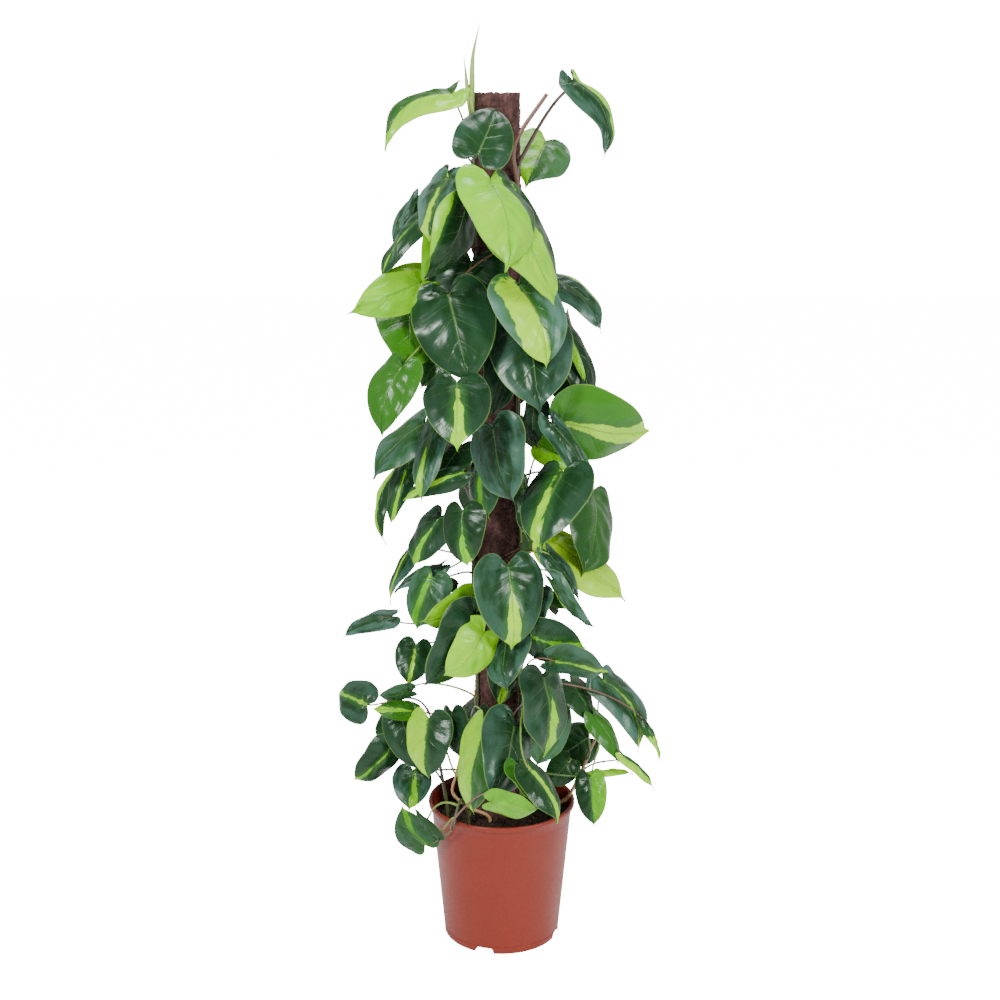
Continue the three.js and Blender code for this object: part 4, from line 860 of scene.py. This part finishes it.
def dressStem(name):
    # One leafy solid as a piece of blades and a piece of stems, read from its mesh and drawn finer.
    form = stemForm
    points, edges = weldedSolid(name)
    rough = spans(points)
    blades = readBlades(points, rough)
    leaves, stems = Gatherer(), Gatherer()
    if name in climbers:
        path, radii = climberLine(climbers[name])
        addNodeGrowth(stems, climbers[name])
        tint = "olive"
    else:
        path, radii = shootLine(sideShoots[name])
        tint = sideShoots[name]["tint"]
    stems.addTube(path * mm, radii * mm, form["sides"], tint=tints[tint])
    stalks = [s for thick in (1.0, plant["thickStalk"]) for s in readStalks(points, rough, edges, thick)]
    ends, matches = matchStalks(blades, stalks, path)
    steps = np.linspace(0, 1, form["stalkSteps"])
    first, last = plant["stalkRadii"]
    for b, blade in enumerate(blades):
        addLeaf(leaves, {**blade, "start": blade["start"] * mm, "size": blade["size"] * mm})
        if b in matches:
            quarters, thick = stalks[matches[b]]
            knots = [stalkRoot(quarters, ends[b]), *quarters, ends[b]]
        else:
            # A stalk that isn't read arches up from the stem a little below its leaf
            thick = 1.0
            root = path[np.argmin(norm(path - (ends[b] - (0, 0, form["stalkDrop"])), axis=1))]
            t = np.arange(5)[:, None] / 4
            arch = 4 * t * (1 - t) * form["stalkArch"] * norm(root - ends[b])
            knots = root + (ends[b] - root) * t + arch * np.array([0, 0, 1])
        swell = 1 + form["stalkSwell"] * np.exp(-(steps / form["swellShare"]) ** 2)
        radii = thick * (first + (last - first) * steps) * swell
        curve = quarticThrough(knots, steps)
        stems.addTube(curve * mm, radii * mm, form["stalkSides"], tint=stalkTint(blade["number"]))
    addNewGrowth(stems, name)
    leafPiece = leaves.make(name.replace("_", "") + "Leaves", leafMaterial)
    stemPiece = stems.make(name.replace("_", "") + "Stems", stemMaterial)
    for piece in (leafPiece, stemPiece):
        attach(piece, "root")
    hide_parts(name)
    print("dressed", name, "with", len(blades), "leaves")


for stemName in [*climbers, *sideShoots]:
    dressStem(stemName)

# The pot in millimetres: the foot ring's section from the foot's radius, and the rim's roll from the
# rim's radius and the top
potForm = dict(
    height=184, rim=95, foot=75.5, wall=1.9, rimDepth=6.5, rimOverhang=3.2,
    footHeight=9, floorLift=5, pad=17, soilBottom=8, sides=144, wallRings=14,
    insideRings=8, notches=4, notchWidth=24, notchHeight=7, notchTurn=-0.3,
    footRing=[(-4, 5), (-3, 0.4), (-2.6, 0), (-0.9, 0), (-0.5, 0.5), (0, 7.4), (-0.1, 7.9), (-0.7, 8.7),
                 (-0.7, 9.3)],
    rimRoll=[(-0.9, -6.4), (-0.3, -5.9), (0, -3.6), (-0.1, -1.8), (-0.6, -0.7), (-1.4, -0.1), (-2.2, 0),
                (-3.2, -0.2)],
)

potFinish = dict(
    colours=[(0.2, (0.125, 0.013, 0.006)), (0.75, (0.178, 0.020, 0.0095))], cloud=(9.0, 100.0),
    cloudShare=0.7, speckShare=0.25, drawn=30.0, drawnStretch=(1.0, 1.0, 14.0),
    roughness=0.30, roughDrawn=0.12, roughSpeck=0.1, drawnRelief=0.6, bump=(0.12, 0.0004),
    specular=0.22,
)


def makePotMaterial():
    # Moulded plastic: clouded by wide grain, specked by fine grain, and faintly drawn round the wall.
    look = potFinish
    material, tree, shader = newMaterial("mouldedPlastic")
    grains = grain(onPiece(tree), *look["cloud"])
    cloud, speck = times(grains["Coarse"], look["cloudShare"]), grains["Fine"]
    drawn = noise(onPiece(tree, look["drawnStretch"]), look["drawn"], 2.0)
    colour = ramp(plus(cloud, times(speck, look["speckShare"])), look["colours"])
    rough = timesPlus(drawn, look["roughDrawn"], look["roughness"])
    rough = plus(rough, times(speck, look["roughSpeck"]))
    relief = timesPlus(drawn, look["drawnRelief"], speck)
    feed(shader, {"Base Color": colour, "Roughness": rough, "Normal": bumped(relief, *look["bump"]),
                  "Specular IOR Level": look["specular"]})
    return material


def latheGrid(profile, sides, centreX=0.0):
    # A profile of radius and height carried round an upright axis.
    profile = np.asarray(profile, float)
    angle = np.linspace(0, 2 * pi, sides, endpoint=False)
    x = centreX + profile[:, :1] * np.cos(angle)
    y = profile[:, :1] * np.sin(angle)
    return np.stack([x, y, np.broadcast_to(profile[:, 1:], x.shape)], -1), angle


def potRadius(height):
    # The outside of the wall widens evenly from the foot ring to the top.
    form = potForm
    taper = (form["rim"] - form["rimOverhang"] - form["foot"]) / (form["height"] - form["footHeight"])
    return form["foot"] + taper * (height - form["footHeight"])


def makePot():
    # A profile turned round the axis, with the foot ring's points in a notch lifted to its height.
    form = potForm
    rim, top, foot, wall, low = (form[key] for key in ("rim", "height", "foot", "wall", "footHeight"))
    under = top - form["rimDepth"]
    wallHeights = [low + 1.2, *np.linspace(low + 1.8, under - 0.4, form["wallRings"])]
    profile = [(form["pad"], 0), (form["pad"] + 2, form["floorLift"])]
    profile += [(foot + r, z) for r, z in form["footRing"]]
    profile += [(potRadius(z), z) for z in wallHeights]
    profile += [(potRadius(under) + 0.4, under - 0.1)]
    profile += [(rim + r, top + z) for r, z in form["rimRoll"]]
    profile += [(potRadius(top) - wall, top - 1.2)]
    profile += [(potRadius(z) - wall, z) for z in np.linspace(top - 6, 12, form["insideRings"])]
    profile += [(potRadius(low) - wall - 1, form["soilBottom"] - 0.6)]
    grid, angle = latheGrid(profile, form["sides"])
    notch = np.zeros(len(angle), bool)
    for k in range(form["notches"]):
        middle = -pi / 2 + form["notchTurn"] + k * 2 * pi / form["notches"]
        turn = np.angle(np.exp(1j * (angle - middle)))
        notch |= np.abs(turn) * foot < form["notchWidth"] / 2
    ring = (np.array(profile)[:, 0] > foot - 3.5) & (np.array(profile)[:, 1] < low - 2)
    lifted = notch[None, :] & ring[:, None]
    grid[..., 2] = np.where(lifted, np.maximum(grid[..., 2], form["notchHeight"]), grid[..., 2])
    points = np.vstack([grid.reshape(-1, 3), (0, 0, 0), (0, 0, form["soilBottom"] - 0.6)])
    faces = closedFaces(len(profile), form["sides"])
    piece = makePiece("potShell", points * mm, faces, makePotMaterial())
    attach(piece, "root")
    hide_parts("pot")


makePot()
print("pot made")

# Soil in millimetres, and its finish
soilForm = dict(
    rings=60, sides=180, dome=4, wallGap=1.4, crumb=1.21, crumbSize=9, crumbWaves=(5, 40, 9.0),
    lumps=520, lumpSize=(1.2, 3.6), lumpShape=(0.5, 1.3), lumpReach=(0.1, 0.93),
    colours=[(0.25, (0.004, 0.003, 0.002)), (0.6, (0.018, 0.011, 0.007)), (0.9, (0.075, 0.045, 0.025))],
    scale=160.0, stretch=(1, 1, 1), roughness=0.95, relief=0.002,
)

# The coir tube with its loose strands, and the stake inside it
coirForm = dict(
    foot=25, sides=120, rows=420, matting=0.5, mattingWaves=(8, 60, 30.0),
    mattingHeight=14, fray=1.2, frayWaves=(3, 20, 40.0), strands=1500, strandRadius=0.22,
    strandHalf=(6, 16), strandTilt=0.9, strandBend=0.3, strandLift=(0.5, 0.8),
    colours=[(0.25, (0.012, 0.006, 0.006)), (0.55, (0.05, 0.022, 0.02)), (0.85, (0.14, 0.07, 0.058))],
    scale=130.0, stretch=(1, 1, 0.5), roughness=0.9, relief=0.0012,
)
woodForm = dict(
    colours=[(0.25, (0.10, 0.05, 0.03)), (0.8, (0.26, 0.15, 0.09))],
    scale=60.0, stretch=(1, 1, 0.08), roughness=0.8, relief=0.0006,
)
earthy = dict(finer=5.3, fineShare=0.35, coarseShare=0.8, bump=0.8, specular=0.2)


def makeEarthyMaterial(name, look):
    # Matt finish for soil, coir and wood: coarse and fine grain choose the colour and give the relief.
    material, tree, shader = newMaterial(name)
    grains = grain(onPiece(tree, look["stretch"]), look["scale"], earthy["finer"])
    share = times(grains["Coarse"], earthy["coarseShare"])
    share = timesPlus(grains["Fine"], earthy["fineShare"], share)
    feed(shader, {"Base Color": ramp(share, look["colours"]), "Roughness": look["roughness"],
                  "Normal": bumped(grains["Relief"], earthy["bump"], look["relief"]),
                  "Specular IOR Level": earthy["specular"]})
    return material


def waveNoise(first, second, seed, count, fastest):
    # A sum of sine waves in two directions with seeded turns, as a cheap even noise about zero.
    chance = chanceOf(seed)
    total = np.zeros(np.broadcast(first, second).shape)
    for _ in range(count):
        a, b = np.round(chance.uniform(-fastest, fastest)), chance.uniform(-fastest, fastest)
        total += np.sin(a * first + b * second + chance.uniform(0, 2 * pi))
    return total / sqrt(count)


def makeSoil():
    # A dome that falls with the distance squared, crumbs of wave noise that fade at the wall, and
    # eight-sided lumps turned at random.
    form = soilForm
    level, bottom = plant["soilLevel"], potForm["soilBottom"]
    inset = potForm["wall"] + form["wallGap"]
    outer, inner = potRadius(level - form["dome"]) - inset, potRadius(bottom) - inset
    radii = np.linspace(1, outer, form["rings"])
    heights = level - form["dome"] * (radii / outer) ** 2
    profile = [(inner, bottom), *zip(radii[::-1], heights[::-1])]
    grid, angle = latheGrid(profile, form["sides"])
    places = grid[..., 0] / form["crumbSize"], grid[..., 1] / form["crumbSize"]
    crumbs = waveNoise(*places, *form["crumbWaves"]) * form["crumb"]
    crumbs *= np.clip((outer - np.array(profile)[:, :1]) / 8, 0, 1) * (np.arange(len(profile))[:, None] > 0)
    grid[..., 2] += crumbs
    gatherer = Gatherer()
    points = np.vstack([grid.reshape(-1, 3), (0, 0, bottom), (0, 0, grid[-1, :, 2].mean())])
    gatherer.add(points * mm, closedFaces(len(profile), form["sides"]))
    chance = chanceOf(11)
    lump = np.array([(1, 0, 0), (-1, 0, 0), (0, 1, 0), (0, -1, 0), (0, 0, 1), (0, 0, -1)], float)
    around = np.array([0, 2, 1, 3, 0])
    upper = np.stack([around[:-1], around[1:], np.full(4, 4)], 1)
    lumpFaces = np.vstack([upper, upper[:, [1, 0, 2]] + (0, 0, 1)])
    for _ in range(form["lumps"]):
        turn = chance.uniform(0, 2 * pi)
        distance = outer * sqrt(chance.uniform(*form["lumpReach"]))
        height = level - form["dome"] * (distance / outer) ** 2 + 0.6
        middle = np.array([distance * cos(turn), distance * sin(turn), height])
        size = chance.uniform(*form["lumpSize"]) * chance.uniform(*form["lumpShape"], (6, 1))
        spin = np.linalg.qr(chance.normal(size=(3, 3)))[0]
        spin *= np.sign(np.linalg.det(spin))
        gatherer.add((middle + (lump * size) @ spin.T) * mm, [lumpFaces])
    piece = gatherer.make("soilBed", makeEarthyMaterial("pottingSoil", form))
    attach(piece, "root")
    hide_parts("potting_soil")


def makeSleeve():
    # A tube matted by wave noise, frayed at the top, with strands laid over it: arcs at a tilt that
    # lift off towards their ends.
    form = coirForm
    low, high, outside = form["foot"], plant["poleTop"], plant["poleRadius"]
    inside = plant["coreRadius"] + plant["gap"]
    profile = [(inside, low), *[(outside, z) for z in np.linspace(low, high, form["rows"])], (inside, high)]
    grid, angle = latheGrid(profile, form["sides"], plant["poleX"])
    turns, climbs = np.broadcast_to(angle, grid.shape[:2]), grid[..., 2] / form["mattingHeight"]
    relief = waveNoise(turns, climbs, *form["mattingWaves"]) * form["matting"]
    relief[0], relief[-1] = 0, 0
    grid[..., :2] += np.stack([np.cos(angle), np.sin(angle)], -1) * relief[..., None]
    grid[-2, :, 2] += form["fray"] * np.abs(waveNoise(angle, 0 * angle, *form["frayWaves"]))
    gatherer = Gatherer()
    here, last = np.arange(form["sides"]), (len(profile) - 1) * form["sides"]
    after = np.roll(here, -1)
    bore = np.stack([last + here, last + after, after, here], 1)
    gatherer.add(grid * mm, [gridFaces(len(profile), form["sides"], True), bore])
    chance = chanceOf(21)
    t = np.linspace(-1, 1, 6)
    gap, rise = form["strandLift"]
    for _ in range(form["strands"]):
        z, turn = chance.uniform(low + 130, high - 2), chance.uniform(0, 2 * pi)
        tilt, half = form["strandTilt"] * chance.uniform(-1, 1), chance.uniform(*form["strandHalf"])
        heading = tilt + form["strandBend"] * chance.uniform(-1, 1) * t
        turns = turn + half * np.cos(heading) * t / outside
        x = plant["poleX"] + (outside + gap + rise * t ** 2 * chance.uniform(0, 1)) * np.cos(turns)
        y = (outside + gap + rise * t ** 2 * chance.uniform(0, 1)) * np.sin(turns)
        path = np.stack([x, y, np.minimum(z + half * np.sin(heading) * t, high + 2.5)], -1)
        gatherer.addTube(path * mm, np.full(len(t), form["strandRadius"] * mm), 3)
    piece = gatherer.make("coirSleeve", makeEarthyMaterial("coir", form))
    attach(piece, "root")
    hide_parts("pole_sleeve")


makeSoil()
makeSleeve()
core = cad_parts["pole_core"]
core.data.materials.clear()
core.data.materials.append(makeEarthyMaterial("poleWood", woodForm))
print("soil and pole made")

# Floor, soft lamps (place, height aimed at, size, power) and what the camera alone sees behind
studio = {
    "floor": 14.0, "white": (0.95, 0.95, 0.95, 1), "surroundings": 1.0, "backdrop": 16.0, "floorGlow": 14.5,
    "lamps": {
        "keyLamp": ((-1.3, -2.0, 2.3), 0.6, 0.45, 112),
        "fillLamp": ((1.7, -1.6, 1.5), 0.5, 0.6, 58),
        "topLamp": ((0.2, 0.6, 2.6), 0.7, 1.0, 40),
    },
}


def makeFloor():
    # A pale square that glows for the camera alone, so it runs into the backdrop without an edge.
    half = studio["floor"] / 2
    corners = np.array([(-half, -half, 0), (half, -half, 0), (half, half, 0), (-half, half, 0)])
    material, tree, shader = newMaterial("paleFloor")
    seen = put(tree, "ShaderNodeLightPath").outputs["Is Camera Ray"]
    feed(shader, {"Base Color": studio["white"], "Roughness": 0.9, "Emission Color": (1, 1, 1, 1),
                  "Emission Strength": times(seen, studio["floorGlow"])})
    floor = makePiece("floor", corners, [np.array([[0, 1, 2, 3]])], material)


def addLamp(name, place, aim, size, power):
    # A square lamp turned to face a height on the plant's axis.
    lamp = bpy.data.lights.new(name, "AREA")
    lamp.shape = "SQUARE"
    lamp.size = size
    lamp.energy = power
    thing = addObject(name, lamp)
    thing.location = place
    thing.rotation_euler = (Vector((0, 0, aim)) - Vector(place)).to_track_quat("-Z", "Y").to_euler()


def makeBackdrop():
    # Even white all round, stronger where the camera sees it directly.
    world = bpy.data.worlds.new("studio")
    world.use_nodes = True
    tree = world.node_tree
    seen = put(tree, "ShaderNodeLightPath").outputs["Is Camera Ray"]
    strength = timesPlus(seen, studio["backdrop"] - studio["surroundings"], studio["surroundings"])
    feed(tree.nodes["Background"], {"Color": (1, 1, 1, 1), "Strength": strength})
    bpy.context.scene.world = world


def addCamera():
    # The photograph's own viewpoint and frame.
    data = bpy.data.cameras.new("camera")
    camera = addObject("camera", data)
    data.sensor_width = viewer["sensor"]
    data.lens = viewer["sensor"] * viewer["focalPixels"] / viewer["width"]
    data.clip_end = 30
    camera.location = tuple(v * mm for v in viewer["eye"])
    camera.rotation_euler = (radians(90 - viewer["tilt"]), 0, 0)
    return camera


makeFloor()
for lampName, (lampPlace, aim, size, power) in studio["lamps"].items():
    addLamp(lampName, lampPlace, aim, size, power)
makeBackdrop()
bpy.context.scene.camera = addCamera()
print("studio made")
